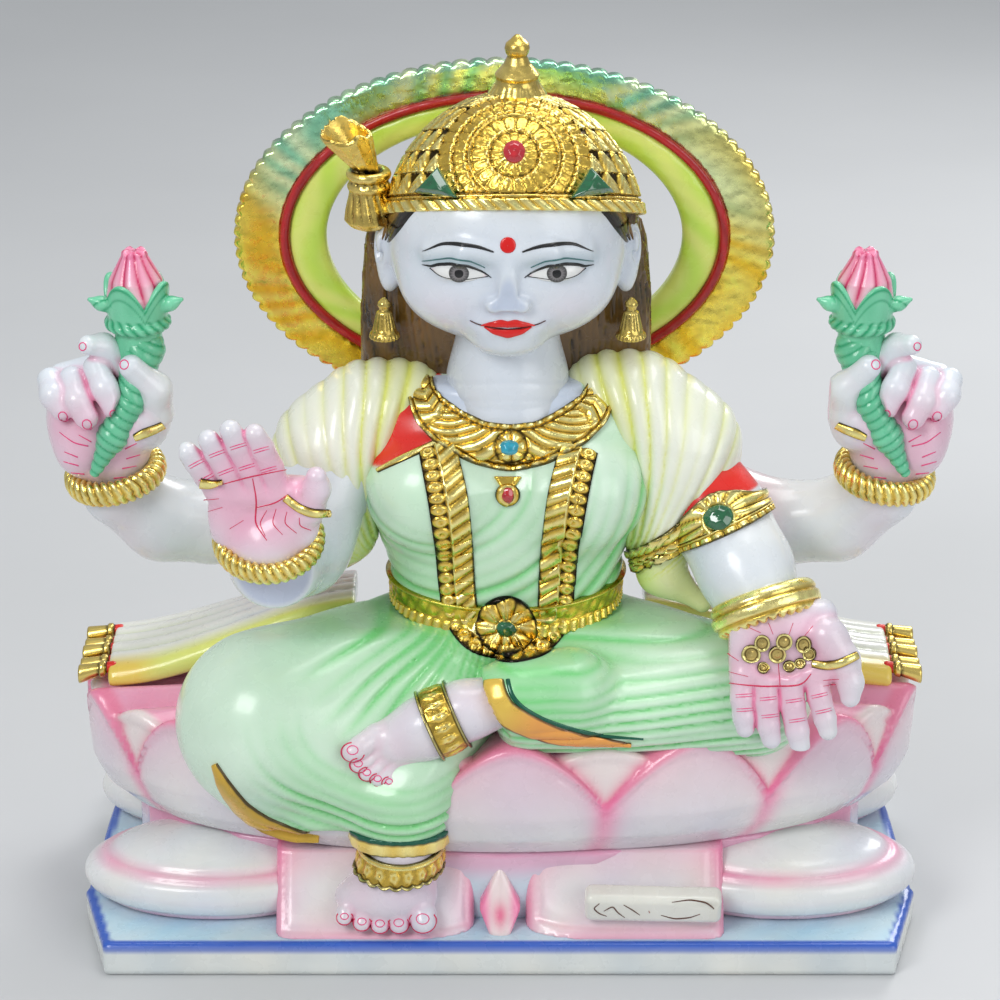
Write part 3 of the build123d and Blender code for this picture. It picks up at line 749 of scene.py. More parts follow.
def right_leg_body(p):
    knee, hem = right_knee, right_hem
    thigh = rod(p, (*(hips_mid + (-28, -8, 6)), 48), (*(knee + (0, 0, 2)), 57))
    shin = smin(
        rod(p, (*knee, 55), (*(hem + (0, 4, 34)), 39)),
        rod(p, (*(hem + (0, 4, 34)), 39), (*(hem + (5, -1, 15)), 36)), 6
    )
    drape = at("right_leg_drape")
    fold = limb(
        p, off(drape, (-58, -22, -20, 14), (-40, -26, -44, 16), (-10, -28, -53, 17), (24, -28, -54, 16)),
        8
    )
    shin = smin(shin, fold, 16)
    curtain = rod(p, (*(hips_mid + (-32, -56, -10)), 36), (*(hem + (4, 2, 32)), 38))
    return blend_all([thigh, shin, curtain], 22)


def left_leg_body(p):
    knee = left_knee
    thigh = rod(p, (*(hips_mid + (38, -10, 6)), 46), (*(knee + (-6, 2, 0)), 36))
    shin = rod(p, (*(knee + (-4, -10, -4)), 34), (*(hips_mid + (18, -84, -12)), 25))
    return smin(thigh, shin, 26)


def right_leg_folds(p):
    """Fold phase and depth on the hanging leg: arcs round the lap below, rays from the belt above."""
    q = p - column(hips_mid)
    low_r = np.sqrt(((q[0] + 66) / 1.35) ** 2 + (q[2] - 2) ** 2)
    arcs = low_r / 8.6 + 0.25 * ripple(p, 60.0)
    arc_depth = smooth(44, 60, low_r) * smooth(8, -18, q[2]) * smooth(-178, -120, q[0])
    angle = np.arctan2(q[2] - 62, -(q[0] + 2))
    rays = angle * 9.5 + 0.3 * ripple(p, 50.0)
    far = np.sqrt(q[0] ** 2 + (q[2] - 62) ** 2)
    ray_depth = smooth(30, 50, far) * smooth(150, 90, far) * smooth(-34, -10, q[2])
    return arcs, arc_depth, rays, ray_depth


def left_leg_folds(p):
    q = p - column(at("left_leg_drape"))
    lines = (q[2] - 0.0007 * (q[0] - 30) ** 2 - 0.10 * q[0]) / 7.2 + 0.3 * ripple(p, 70.0)
    return lines, smooth(125, 70, q[0]) * smooth(-128, -95, q[0])


def skirt_shape(p):
    hips = ellipsoid(p, hips_mid + (1, 0, -2), (94, 61, 50))
    arcs, arc_depth, rays, ray_depth = right_leg_folds(p)
    lines, line_depth = left_leg_folds(p)
    right = right_leg_body(p) + 3.2 * arc_depth * groove(arcs) + 2.2 * ray_depth * groove(rays)
    left = left_leg_body(p) + 3.0 * line_depth * groove(lines)
    d = smin(smin(right, left, 9), hips, 14)
    foot = at("left_foot")
    sleeve = limb(p, off(foot, (36, 7, 16, 23), (62, 9, 22, 25), (96, 16, 22, 30)), 10)
    q = p - column(foot)
    sleeve = smax(sleeve, 51 - (0.9 * q[0] + 0.1 * q[1] + 0.42 * q[2]), 2.5)
    d = smin(d, sleeve, 9)
    bed = limb(p, off(foot, (-6, -37, 2, 30), (-40, -38, -14, 29)), 10)
    d = smax(d, -bed, 8)
    hem = right_hem[2] - 4 - p[2]
    return smax(smax(d, hem, 5.0), p[2] - corners("hip_drape")[1][2] + 2, 4.0)


def skirt_paint(p, crease_shade):
    arcs, arc_depth, rays, ray_depth = right_leg_folds(p)
    lines, line_depth = left_leg_folds(p)
    on_right = smooth(-6, 6, left_leg_body(p) - right_leg_body(p))
    cut_right = arc_depth * groove(arcs) + ray_depth * groove(rays)
    cut = mixed(line_depth * groove(lines), cut_right, on_right)
    from_belt = np.sqrt(((p[0] - BELT[0]) / 1.25) ** 2 + (p[2] - BELT[2]) ** 2)
    # Over the right knee the green wash is held back, leaving a pale patch: a painted highlight.
    knee = np.exp(-(((p[0] - right_knee[0]) / 55) ** 2) - ((p[2] - right_knee[2] - 4) / 40) ** 2)
    wash = 0.62 * hump(from_belt, 22, 42) + 0.30 * smooth(-14, 14, ripple(p, 55.0) * 14)
    wash = wash * (1 - 0.9 * knee) + 0.30 * on_right * arc_depth
    # The green deepened in the fold grooves and the hollows is painted shade over the green paint.
    weight = np.clip(wash + 0.90 * cut + 0.4 * crease_shade, 0, 0.95)
    return mixed(MINT_CLOTH, GREEN, weight)


skirt_low = np.minimum(corners("right_leg_drape")[0], corners("hip_drape")[0]) - 6
skirt_high = np.maximum(corners("left_leg_drape")[1], corners("hip_drape")[1]) + (6, 6, 4)
skirt_low[1] = plinth_low[1] + 1
sculpt(
    "skirt", skirt_shape, skirt_low, skirt_high, 2.1, skirt_paint, marble,
    ["hip_drape", "right_leg_drape", "left_leg_drape"],
)

# ------------------------------------------------------------------ torso

chest = at("torso")
TORSO_LEVELS = [
    (chest[2] - 84, chest[0], chest[1] + 3, 79, 51),
    (chest[2] - 70, chest[0], chest[1] + 4, 75, 49),
    (chest[2] - 44, chest[0], chest[1] + 3, 79, 50),
    (chest[2] - 10, chest[0], chest[1] + 2, 90, 52),
    (chest[2] + 25, chest[0], chest[1] + 2, 97, 51),
    (chest[2] + 46, chest[0], chest[1] + 10, 96, 44),
    (chest[2] + 62, chest[0], chest[1] + 14, 76, 38),
    (chest[2] + 78, chest[0], chest[1] + 16, 50, 33),
]


def torso_body(p):
    d = drum(p, TORSO_LEVELS, 2.25)
    for side in (RIGHT, LEFT):
        d = smin(d, ellipsoid(p, chest + (side * 50, -30, 14), (40, 33, 37)), 16)
    d = smin(d, ellipsoid(p, chest + (0, 8, 58), (96, 34, 20)), 22)
    return d


def torso_folds(p):
    """Swags round the right breast that climb over the belly to the left shoulder."""
    q = p - column(chest)
    reach = np.sqrt((q[0] + 46) ** 2 + (q[2] - 40) ** 2)
    phase = reach / 10.5 + 0.22 * ripple(p, 55.0)
    bust = np.exp(-(((q[0] - 52) / 27) ** 2) - ((q[2] - 24) / 20) ** 2)
    depth = smooth(34, 50, reach) * smooth(50, 20, q[2]) * (1 - 0.8 * bust) * smooth(28, 12, q[1])
    return phase, depth


def torso_shape(p):
    phase, depth = torso_folds(p)
    d = torso_body(p) + 2.4 * depth * groove(phase)
    return smax(smax(d, p[2] - chest[2] - 82, 3.0), chest[2] - 84 - p[2], 2.0)


def torso_paint(p, crease_shade):
    q = p - column(chest)
    phase, depth = torso_folds(p)
    cut = depth * groove(phase)
    waist = smooth(-20, -62, q[2])
    # The green deepened in the fold grooves and the hollows is painted shade; the green also grows towards
    # the waist.
    weight = np.clip(0.12 + 0.75 * cut + 0.30 * waist + 0.4 * crease_shade + 0.10 * ripple(p, 40.0), 0, 0.9)
    cloth = mixed(MINT_CLOTH, GREEN, weight)
    # the collar leaves bare skin above it, and the blouse shows red at the figure's right shoulder
    oval = np.sqrt((q[0] / 50) ** 2 + ((q[2] - 78) / 36) ** 2)
    skin = smooth(1.02, 0.98, oval) * (q[1] < 10)
    red = smooth(-1, 1, q[2] - 44 - (q[0] + 67) * 0.5) * smooth(-42, -44, q[0]) * (q[1] < 25)
    colour = mixed(cloth, RED, red)
    return mixed(colour, SKIN, skin)


carve("bodice", torso_shape, "torso", (6, 6, 14), (6, 8, 12), 1.8, torso_paint)

# ------------------------------------------------------------------ neck, head, ears

head = at("head")
neck_mid = at("neck")


def neck_shape(p):
    d = limb(
        p,
        [
            (*(neck_mid + (0, 2, -46)), 52), (*(neck_mid + (0, 3, -22)), 37),
            (*(neck_mid + (0, 2, 26)), 33)
        ],
        18
    )
    for height in (-14, -3):
        ring = np.abs(p[2] - neck_mid[2] - height + 0.006 * (p[0] - neck_mid[0]) ** 2)
        d = d + 0.4 * hump(ring, 0, 1.6)
    return smax(d, neck_mid[2] - 50 - p[2], 2.0)


def skin_paint(p, crease_shade):
    tone = mixed(SKIN, WHITE, 0.38 + 0.15 * ripple(p, 40.0))
    return mixed(tone, SKIN_SHADE, np.clip(crease_shade * 0.8, 0, 0.8))


sculpt(
    "neck_carving", neck_shape, neck_mid - (58, 54, 54), neck_mid + (58, 58, 40), 1.6, skin_paint, marble,
    ["neck"]
)

EYE_OUT, EYE_UP = 31.0, -4.0  # eye centres from the middle of the head
NOSE_UP, LIP_UP = -26.0, -40.0


def head_shape(p):
    q = p - column(head)
    q[0] = np.abs(q[0])
    skull = ellipsoid(q, (0, 5, 7), (77, 57, 58))
    forehead = ellipsoid(q, (0, -12, 20), (64, 46, 38))
    jaw = ellipsoid(q, (0, -13, -20), (68, 46, 46))
    cheek = ellipsoid(q, (37, -30, -22), (26, 21, 22))
    chin = ellipsoid(q, (0, -44, -54), (21, 14, 11))
    d = smin(smin(skull, forehead, 20), jaw, 26)
    d = smin(smin(d, cheek, 16), chin, 15)
    socket = ellipsoid(q, (EYE_OUT - 1, -68, EYE_UP + 1), (21, 9, 8))
    d = smax(d, -socket, 8)
    ball = ellipsoid(q, (EYE_OUT, -48, EYE_UP), (17.5, 13, 10.5))
    d = smin(d, ball, 3)
    lid = limb(q, [(16, -57, EYE_UP + 4, 2), (31, -59, EYE_UP + 8, 2.4), (47, -50, EYE_UP + 3, 2)], 4)
    d = smin(d, lid, 3)
    brow = limb(q, [(8, -59, EYE_UP + 13, 3), (28, -59, EYE_UP + 15, 3.5), (50, -47, EYE_UP + 11, 3)], 4)
    d = smin(d, brow, 9)
    bridge = rod(q, (0, -58, EYE_UP + 9, 4.5), (0, -68, NOSE_UP + 6, 5.8))
    tip = ellipsoid(q, (0, -69, NOSE_UP + 3), (7.4, 6.5, 5.8))
    wing = ellipsoid(q, (8.8, -63, NOSE_UP + 1.5), (5, 6, 4.2))
    d = smin(d, blend_all([bridge, tip, wing], 4.5), 6)
    nostril = ellipsoid(q, (4.8, -67, NOSE_UP - 3.5), (2.6, 3.2, 2.0))
    d = smax(d, -nostril, 1.5)
    groove_up = rod(q, (0, -66, NOSE_UP - 4, 1.4), (0, -64, LIP_UP + 7, 1.8))
    d = smax(d, -groove_up, 3)
    upper = limb(
        q, [(0, -59, LIP_UP + 2.5, 3.4), (7, -58, LIP_UP + 2.6, 3.4), (17, -52, LIP_UP + 0.6, 1.8)], 3
    )
    lower = limb(q, [(0, -58, LIP_UP - 4.0, 4.2), (8, -56.5, LIP_UP - 3.2, 3.6), (16, -52, LIP_UP, 1.6)], 3)
    mouth = ellipsoid(q, (0, -52, LIP_UP), (21, 8, 10))
    d = smin(d, mouth, 10)
    d = smin(d, np.minimum(upper, lower), 2.5)
    ear = ellipsoid(q, (80, 8, -10), (7, 12, 19))
    lobe = ellipsoid(q, (77, 4, -30), (6, 8, 9))
    bowl = ellipsoid(q, (84, 0, -6), (4.5, 7, 12))
    ridge = ellipsoid(q, (83, 1, -4), (2.5, 5, 7))
    ear = smin(smax(smin(ear, lobe, 7), -bowl, 2.5), ridge, 2)
    return smin(d, ear, 7)


def head_paint(p, crease_shade):
    q = p - column(head)
    tone = mixed(SKIN, WHITE, 0.36 + 0.15 * ripple(p, 40.0))
    eye = np.exp(-(((np.abs(q[0]) - EYE_OUT - 3) / 21) ** 2) - ((q[2] - EYE_UP - 6) / 6.5) ** 2)
    tone = mixed(tone, srgb(0.50, 0.66, 0.68), np.clip(eye * 0.55, 0, 1) * (q[1] < -20))
    cheek = np.exp(-(((np.abs(q[0]) - 40) / 18) ** 2) - ((q[2] + 30) / 14) ** 2)
    tone = mixed(tone, BLUSH, cheek * 0.14 * (q[1] < 0))
    return mixed(tone, SKIN_SHADE, np.clip(crease_shade * 0.5, 0, 0.6))


carve("head_carving", head_shape, "head", 4, 5, 1.3, head_paint)

# ------------------------------------------------------------------ sheets, bands and brush lines

VIEW = (0, 0.917, -0.399)  # from in front and a little above
PIN_HOLE = 0.02  # the share of a disc's radius at which its innermost ring lies


def laid_sheet(base, rows, lift, tint, heading=VIEW, back=70.0, sink=1.0, closed=False):
    """A solid sheet laid on a field: rows (3, n, m) are dropped on it along the heading, lift (n, m) is how
    far the sheet stands off there, tint (3, n, m) its colour. If closed, the last row joins the first."""
    n, m = lift.shape
    flat = rows.reshape(3, -1).astype(np.float32)
    ahead = heading.reshape(3, -1) if np.ndim(heading) > 1 else column(heading)
    hit = march(base, flat - ahead * back, ahead, far=max(back * 2.6, 90.0))
    # where a ray passes the field by, the sheet keeps the place it was given
    past = (in_chunks(base, hit) > 1.0) | (((hit - flat) * ahead).sum(0) > 60)
    hit = np.where(past, flat, hit)
    normal = gradient(base, hit)
    verts = np.concatenate([hit + normal * lift.reshape(1, -1), hit - normal * sink], 1)
    grid = np.arange(n * m).reshape(n, m)
    here, after = (grid, np.roll(grid, -1, 0)) if closed else (grid[:-1], grid[1:])
    face = np.stack([here[:, :-1], after[:, :-1], after[:, 1:], here[:, 1:]], -1).reshape(-1, 4)
    walls = [(after[:, 0], here[:, 0]), (here[:, -1], after[:, -1])]
    if not closed:
        walls += [(grid[0, :-1], grid[0, 1:]), (grid[-1, 1:], grid[-1, :-1])]
    under = n * m
    quads = [face, face[:, ::-1] + under] + [np.stack([a, b, b + under, a + under], -1) for a, b in walls]
    return verts, np.concatenate(quads), np.tile(tint.reshape(3, -1), 2)


def outward(verts, quads):
    """The quads, turned over if they enclose a negative volume."""
    a, b, c, d = (verts[:, quads[:, i]].astype(float) for i in range(4))
    volume = (a * np.cross(b, c, axis=0)).sum() + (a * np.cross(c, d, axis=0)).sum()
    return quads if volume > 0 else quads[:, ::-1]


def joined(name, blocks, material, nodes, gilded=1.0):
    """One piece from several blocks of vertices, quads and colours."""
    verts, quads, tints, count = [], [], [], 0
    for block_verts, block_quads, block_tint in blocks:
        verts.append(block_verts)
        quads.append(outward(block_verts, block_quads) + count)
        tints.append(block_tint)
        count += block_verts.shape[1]
    thing = mesh_object(
        name, np.concatenate(verts, 1), np.concatenate(quads), np.concatenate(tints, 1),
        np.full(count, gilded)
    )
    return finished(thing, material, nodes)


def gilt(name, nodes, *blocks):
    return joined(name, blocks, gold, nodes)


def eased(points, spacing, rounds=None):
    """Even stations along a bent line (rows x, y, z and anything more), its corners rounded off."""
    points = np.array(points, float)
    chord = np.concatenate([[0], np.cumsum(np.linalg.norm(np.diff(points[:, :3], axis=0), axis=1))])
    count = max(8, int(chord[-1] / spacing))
    s = np.linspace(0, chord[-1], count)
    path = np.stack([np.interp(s, chord, points[:, i]) for i in range(points.shape[1])])
    mean_leg = chord[-1] / (len(points) - 1)
    for _ in range(int((0.32 * mean_leg / (s[1] - s[0])) ** 2) if rounds is None else rounds):
        path[:, 1:-1] = path[:, 1:-1] * 0.5 + (path[:, :-2] + path[:, 2:]) * 0.25
    return path, s


def across_of(path, heading):
    ahead = column(heading)
    run = np.gradient(path[:3], axis=1)
    run -= ahead * (run * ahead).sum(0)
    run /= np.sqrt((run * run).sum(0)) + 1e-9
    return np.cross(run, ahead, axis=0)


def laid_band(base, stations, relief, paint, heading=VIEW, spacing=0.8, lines=25, sink=1.0, rounds=None):
    """A carved band laid along stations (x, y, z, half width). relief(s, t) is its height at a distance s
    along and t from -1 to 1 across, and paint(s, t, height) its colour."""
    path, s = eased(stations, spacing, rounds)
    side = across_of(path, heading)
    t = np.linspace(-1, 1, lines)
    rows = path[:3, :, None] + side[:, :, None] * path[3][None, :, None] * t
    along, over = np.meshgrid(s, t, indexing="ij")
    height = relief(along, over)
    return laid_sheet(base, rows, height, paint(along, over, height), heading, sink=sink)


def facing_rows(centre, heading, x, z):
    """Rows on the plane through centre that the heading meets square on, with x across and z up."""
    ahead = np.array(heading, float)
    up = np.array([0, 0, 1.0]) - ahead * ahead[2]
    up /= np.linalg.norm(up)
    right = np.cross(ahead, up)
    return np.array(centre)[:, None, None] + right[:, None, None] * x + up[:, None, None] * z


def laid_disc(
    base, centre, radius, relief, paint, heading=VIEW, around=72, rings=18, squash=(1, 1), sink=1.0
):
    """A carved disc: relief(turn, r) with r from 0 in the middle to 1 at the rim."""
    turn, r = round_grid(around, PIN_HOLE, 1, rings)
    x, z = radius * squash[0] * r * np.cos(turn), radius * squash[1] * r * np.sin(turn)
    rows = facing_rows(centre, heading, x, z)
    height = relief(turn, r)
    return laid_sheet(base, rows, height, paint(turn, r, height), heading, sink=sink, closed=True)


def plain(colour):
    return lambda along, over, height: mixed(colour, colour, np.zeros_like(height))


def strokes(name, base, lines, heading=VIEW, lift=0.3):
    """Brush lines laid on a field, each (points (x, y, z, full width), colour)."""
    blocks = []
    for points, colour in lines:
        stations = [(*point[:3], point[3] / 2) for point in points]
        blocks.append(
            laid_band(
                base, stations, lambda s, t: lift * (1 - 1.6 * t ** 4), plain(colour), heading, 0.8, 7,
                sink=0.5
            )
        )
    return joined(name, blocks, marble, [], 0.0)


def bangle(name, node, centre, axis, radius, minor, relief, squash, oval=(1.0, 1.0), facets=30):
    """A gold ring round an arm. Its section, of size minor, swells with relief(turn, section angle) from
    0 to 1; squash is the section's share (outward, along the arm) and oval the ring's share (across, up)."""
    around = 300
    x, y, z = axes_about(axis, (1, 0, 0))
    turn, section = (angle.ravel() for angle in round_grid(around, 0, 2 * np.pi * (1 - 1 / facets), facets))
    height = relief(turn, section)
    size = minor * (0.80 + 0.32 * height)
    radial = np.outer(x, np.cos(turn) * oval[0]) + np.outer(y, np.sin(turn) * oval[1])
    verts = (
        column(centre) + radial * (radius + size * squash[0] * np.cos(section))
        + np.outer(z, size * squash[1] * np.sin(section))
    )
    i, j = np.meshgrid(np.arange(around), np.arange(facets), indexing="ij")
    quad = np.stack(
        [i * facets + j, (i + 1) % around * facets + j, (i + 1) % around * facets + (j + 1) % facets,
         i * facets + (j + 1) % facets], -1
    ).reshape(-1, 4)
    # Pale on the cords is a painted highlight, dark in the grooves painted shade.
    tint = gilt_tone(height, (0.6, 1.0), (0.0, 0.35))
    return finished(mesh_object(name, verts, quad, tint, np.ones(len(turn))), gold, [node])


def braid(count, twist):
    """The relief of a bangle with this many slanting cords."""
    return lambda turn, section: np.abs(np.sin(turn * count / 2 + section * twist)) ** 0.7


def mirrored(p):
    q = p.copy()
    q[0] = -q[0]
    return q


def flipped(field):
    """The mirror image of a shape or a paint."""
    return lambda p, *rest: field(mirrored(p), *rest)


# ------------------------------------------------------------------ arms

REAR_ARM = [
    (-106, 2, 26, 23), (-70, 12, 16, 26), (-30, 12, -6, 26), (6, 9, -14, 25.5), (38, 0, -8, 25.5),
    (66, -13, 20, 25)
]
for side, word in SIDES:
    arm = at(f"rear_{word}_arm")
    stations = off(arm, *[(x * side, y, z, radius) for x, y, z, radius in REAR_ARM])

    def rear_arm(p, stations=stations):
        return limb(p, stations, 14)

    def rear_paint(p, crease_shade, arm=arm, s=side):
        tone = mixed(SKIN, WHITE, 0.45 + 0.25 * ripple(p, 40.0))
        q = (p - column(arm)) * np.array([[s], [1], [1]])
        sleeve = smooth(-20, -23, q[0] + 0.2 * q[2])
        glow = hump(q[0], -16, 16) * 0.45 + hump(q[0], 62, 16) * 0.2
        return mixed(mixed(tone, PINK, np.clip(glow, 0, 1) * 0.5), RED, sleeve)

    node_name = f"rear_{word}_arm"
    carve(f"{node_name}_carving", rear_arm, node_name, (44, 4, 4), (44, 4, 4), 2.0, rear_paint)

    node_name = f"rear_{word}_bangle"
    bangle(
        f"{node_name}_braid", node_name, at(node_name) + (0, -1, 4), (side * 0.16, -0.12, 1), 28.5, 6.6,
        braid(34, 1.6), (0.85, 1.25),
    )

front_right = at("front_right_arm")
FRONT_RIGHT = off(front_right, (26, 34, 34, 34), (-8, -10, -25, 33), (-20, -50, -20, 27), (-21, -60, -6, 25))
front_left = at("front_left_arm")
FRONT_LEFT = off(front_left, (-32, 30, 44, 34), (2, 6, -2, 30), (18, -22, -26, 29), (30, -48, -46, 24))


def arm_paint(p, crease_shade):
    tone = mixed(SKIN, WHITE, 0.45 + 0.25 * ripple(p, 40.0))
    q = p - column(at("left_armlet"))
    up_arm = -(0.42 * q[0] - 0.30 * q[1] - 0.85 * q[2])
    sleeve = smooth(9, 11, up_arm) * (p[0] > 0)
    tone = mixed(tone, SKIN_SHADE, np.clip(crease_shade * 0.6, 0, 0.6))
    return mixed(tone, mixed(RED, srgb(0.97, 0.45, 0.40), smooth(0.2, 1.0, ripple(p, 18.0))), sleeve)


for word, stations in (("right", FRONT_RIGHT), ("left", FRONT_LEFT)):
    node_name = f"front_{word}_arm"
    carve(
        f"{node_name}_carving", lambda p, st=stations: limb(p, st, 16), node_name, 5, 5, 1.7, arm_paint,
    )

bangle(
    "front_right_bangle_braid", "front_right_bangle", at("front_right_bangle") + (-1, 0, 6),
    (0, -0.42, 1), 31, 6.4, braid(36, 1.4), (0.8, 1.2)
)


def scalloped_band(turn, section):
    """Two smooth rolls with a scalloped, dark-lined edge on the hand's side."""
    edge = smooth(0.8, 1.15, section) * smooth(2.6, 2.2, section)
    scallop = np.abs(np.sin(turn * 15)) ** 0.6
    cuts = hump(section, 0.62, 0.13) + hump(section, 5.95, 0.13)
    return np.clip(1 - 0.8 * cuts - edge * (1 - scallop), 0, 1)


bangle(
    "front_left_bangle_band", "front_left_bangle", at("front_left_bangle") + (-1, 2, 4),
    (0.30, -0.50, -0.80), 27, 7.5, scalloped_band, (0.75, 1.35), (1.12, 1.0), 52
)

# ------------------------------------------------------------------ hands


def open_hand(p, origin, fingers, thumb, palm, pads):
    """Fingers lie side by side with sharp grooves between them and grow out of a padded palm."""
    hand = palm(p)
    for pad in pads:
        hand = smin(hand, ellipsoid(p, origin + pad[:3], pad[3:]), 7)
    row = blend_all([limb(p, off(origin, *stations), 1.5) for stations in fingers], 0.8)
    return smin(smin(hand, row, 3.5), limb(p, off(origin, *thumb), 4), 4)


raised = at("front_right_hand")
RAISED_FINGERS = [
    [(-33, -9, -2, 7.8), (-40, -12, 10, 8.0), (-46, -15, 21, 7.6), (-51, -18, 29, 6.6)],
    [(-21, -10, 0, 8.2), (-27, -14, 15, 8.4), (-33, -17, 29, 8.0), (-37, -20, 38, 6.8)],
    [(-8, -10, 1, 8.4), (-13, -14, 18, 8.6), (-19, -18, 34, 8.2), (-23, -21, 45, 7.0)],
    [(5, -9, 0, 8.2), (1, -13, 16, 8.4), (-4, -17, 31, 8.0), (-8, -20, 42, 6.8)],
]


def raised_shape(p):
    def palm(p):
        q = turned(p, raised + (-5, -1, -19), (1, 0, 0.10), (0.08, -0.25, 1.0))
        return slab(q, (34, 11.5, 27), 11)

    d = open_hand(
        p, raised, RAISED_FINGERS,
        [(10, -6, -26, 12), (24, -11, -13, 10.5), (30, -14, 2, 8.6), (30, -16, 11, 6.6)], palm,
        [(17, -10, -25, 14, 8, 16), (-27, -8, -20, 12, 7, 20), (-12, -10, -2, 28, 6, 7)]
    )
    wrist = limb(p, off(raised, (-2, 5, -62, 24), (-4, 1, -42, 25)), 6)
    return smin(d, wrist, 9)


def palm_paint(origin, strength, reach):
    def paint(p, crease_shade):
        tone = mixed(SKIN, WHITE, 0.45 + 0.2 * ripple(p, 30.0))
        away = np.sqrt((((p - column(origin)) / reach) ** 2).sum(0))
        blush = smooth(1.5, 0.5, away) * strength
        tone = mixed(tone, mixed(BLUSH, PINK, 0.2 + 0.15 * ripple(p, 12.0)), np.clip(blush, 0, 1))
        # The pink in the creases and hollows is painted shade.
        return mixed(tone, PINK, np.clip(crease_shade * 0.85, 0, 0.8))

    return paint


carve(
    "raised_hand", raised_shape, "front_right_hand", (14, 5, 8), (5, 8, 5), 1.1,
    palm_paint(raised + (-8, -10, 0), 0.8, 42),
)

lowered = at("front_left_hand")
LOWERED_FINGERS = [
    [(-35, -12, -2, 8.2), (-35, -17, -15, 8.0), (-34, -21, -27, 7.4), (-33, -23, -34, 6.2)],
    [(-20, -14, -2, 8.4), (-19.5, -19, -17, 8.4), (-18, -23, -32, 7.6), (-16, -25, -41, 6.4)],
    [(-4, -14, -2, 8.4), (-2.5, -19, -19, 8.4), (1, -23, -36, 7.8), (3, -25, -46, 6.6)],
    [(12, -12, -1, 8.2), (15, -17, -14, 8.0), (19, -21, -28, 7.4), (21, -23, -36, 6.2)],
]


def lowered_shape(p):
    def palm(p):
        q = turned(p, lowered + (-8, -1, 17), (1, 0, 0), (-0.05, 0.45, 1.0))
        return slab(q, (36, 11, 28), 10.5)

    d = open_hand(
        p, lowered, LOWERED_FINGERS,
        [(20, -6, 24, 12), (31, -12, 10, 10), (35, -17, -4, 8.4), (35, -20, -13, 6.6)], palm,
        [(20, -7, 22, 14, 8, 14), (-33, -5, 16, 12, 8, 18), (-8, -12, 2, 28, 6, 7)]
    )
    hollow = ellipsoid(p, lowered + (-9, -17, 16), (18, 6, 13))
    d = smax(d, -hollow, 8)
    wrist = limb(p, off(lowered, (-20, 18, 36, 24), (-12, 9, 24, 22)), 6)
    return smin(d, wrist, 12)


carve(
    "lowered_hand", lowered_shape, "front_left_hand", (6, 8, 3), (6, 10, 12), 1.1,
    palm_paint(lowered + (-8, -12, 4), 0.65, 42),
)


def fist_parts(p, fist):
    """The hand that holds a lotus stem, on the figure's right; the left one is its mirror image."""
    body = blend_all(
        [
            ellipsoid(p, fist + (-4, 2, 8), (34, 24, 32)),
            ellipsoid(p, fist + (24, -6, 8), (21, 21, 21)),
            ellipsoid(p, fist + (2, 4, -20), (27, 24, 24)),
            ellipsoid(p, fist + (-18, -10, -6), (14, 16, 20)),
        ],
        12,
    )
    thumb = limb(p, off(fist, (34, -8, 16, 14), (36, -14, 34, 10.5), (22, -20, 52, 8.2)), 7)
    index = limb(p, off(fist, (14, -4, 46, 8.5), (3, -8, 62, 8), (-6, -16, 66, 6.6)), 5)
    middle = limb(p, off(fist, (-2, -12, 48, 8.8), (4, -22, 38, 8.6), (10, -26, 26, 7.8)), 4)
    ring = limb(p, off(fist, (-18, -12, 40, 9), (-14, -24, 30, 8.8), (-8, -28, 20, 8)), 4)
    little = limb(p, off(fist, (-33, -8, 38, 8.6), (-30, -20, 32, 8.4), (-24, -24, 24, 7.6)), 4)
    knuckles = rod(p, (*(fist + (8, 4, 44)), 11), (*(fist + (-26, 4, 34)), 11))
    return blend_all([smin(body, knuckles, 10), thumb, index, middle, ring, little], 2.6)


def fist_shape(fist):
    def shape(p):
        d = fist_parts(p, fist)
        channel = limb(p, off(fist, (22, -30, 30, 9), (8, -32, 2, 8), (-5, -34, -24, 4)), 5)
        return smax(d, -channel, 3)

    return shape


def stem_twist(q):
    return (q[2] * 0.8 + q[0] * 0.55) / 6.0


def stem_shape(fist):
    def shape(p):
        d = limb(p, off(fist, (20, -20, 26, 10), (8, -22, 4, 9.5), (-4, -25, -20, 4)), 6)
        upper = limb(p, off(fist, (22, -16, 36, 10), (28, -2, 58, 15.5)), 6)
        return smin(d, upper, 4) + 0.9 * (1 - pleat(stem_twist(p - column(fist))))

    return shape


def stem_paint(fist):
    def paint(p, crease_shade):
        dark = np.clip(1 - pleat(stem_twist(p - column(fist))) * 1.5, 0, 1)
        # The darker green added in the hollows is painted shade.
        return mixed(
            mixed(LEAF_PALE, LEAF, 0.35 + 0.2 * ripple(p, 9.0)), LEAF, np.clip(dark + crease_shade * 0.5, 0, 1)
        )

    return paint


def sepal_edge(q, turn):
    """Height above the wavy edge of the sepals."""
    return q[2] - (-8 + 17 * np.abs(np.cos(turn * 2.0 + 0.9)) ** 0.9)


def rope_cut(q, turn):
    """1 in the slanting grooves of the twisted ring, 0 on its cords."""
    return 1 - pleat(turn * 9 / np.pi + q[2] / 9)


def calyx_shape(bud):
    """A twisted ring, a cup of sepals round the bud and two leaves that spread sideways."""

    def shape(p):
        q = p - column(bud)
        turn, r = polar(q[0], q[1])
        neck = smax(r - 15.5 + 0.08 * (q[2] + 30), np.abs(q[2] + 33) - 14, 2)
        rope = np.sqrt((r - 17) ** 2 + (q[2] + 22) ** 2 * 1.3) - 5.2 + 0.9 * rope_cut(q, turn)
        cup = np.abs(r - (17.5 + 0.10 * (q[2] + 18))) - 2.2
        cup = smax(smax(cup, sepal_edge(q, turn), 2), -20 - q[2], 2)
        leaves = [
            limb(p, off(bud, (way * 14, -6, -10, 5.5), (way * 23, -9, -6, 4.2), (way * 30, -10, -3, 1.4)), 4)
            for way in (-1, 1)
        ]
        return blend_all([neck, rope, cup, np.minimum(*leaves)], 1.5)

    return shape


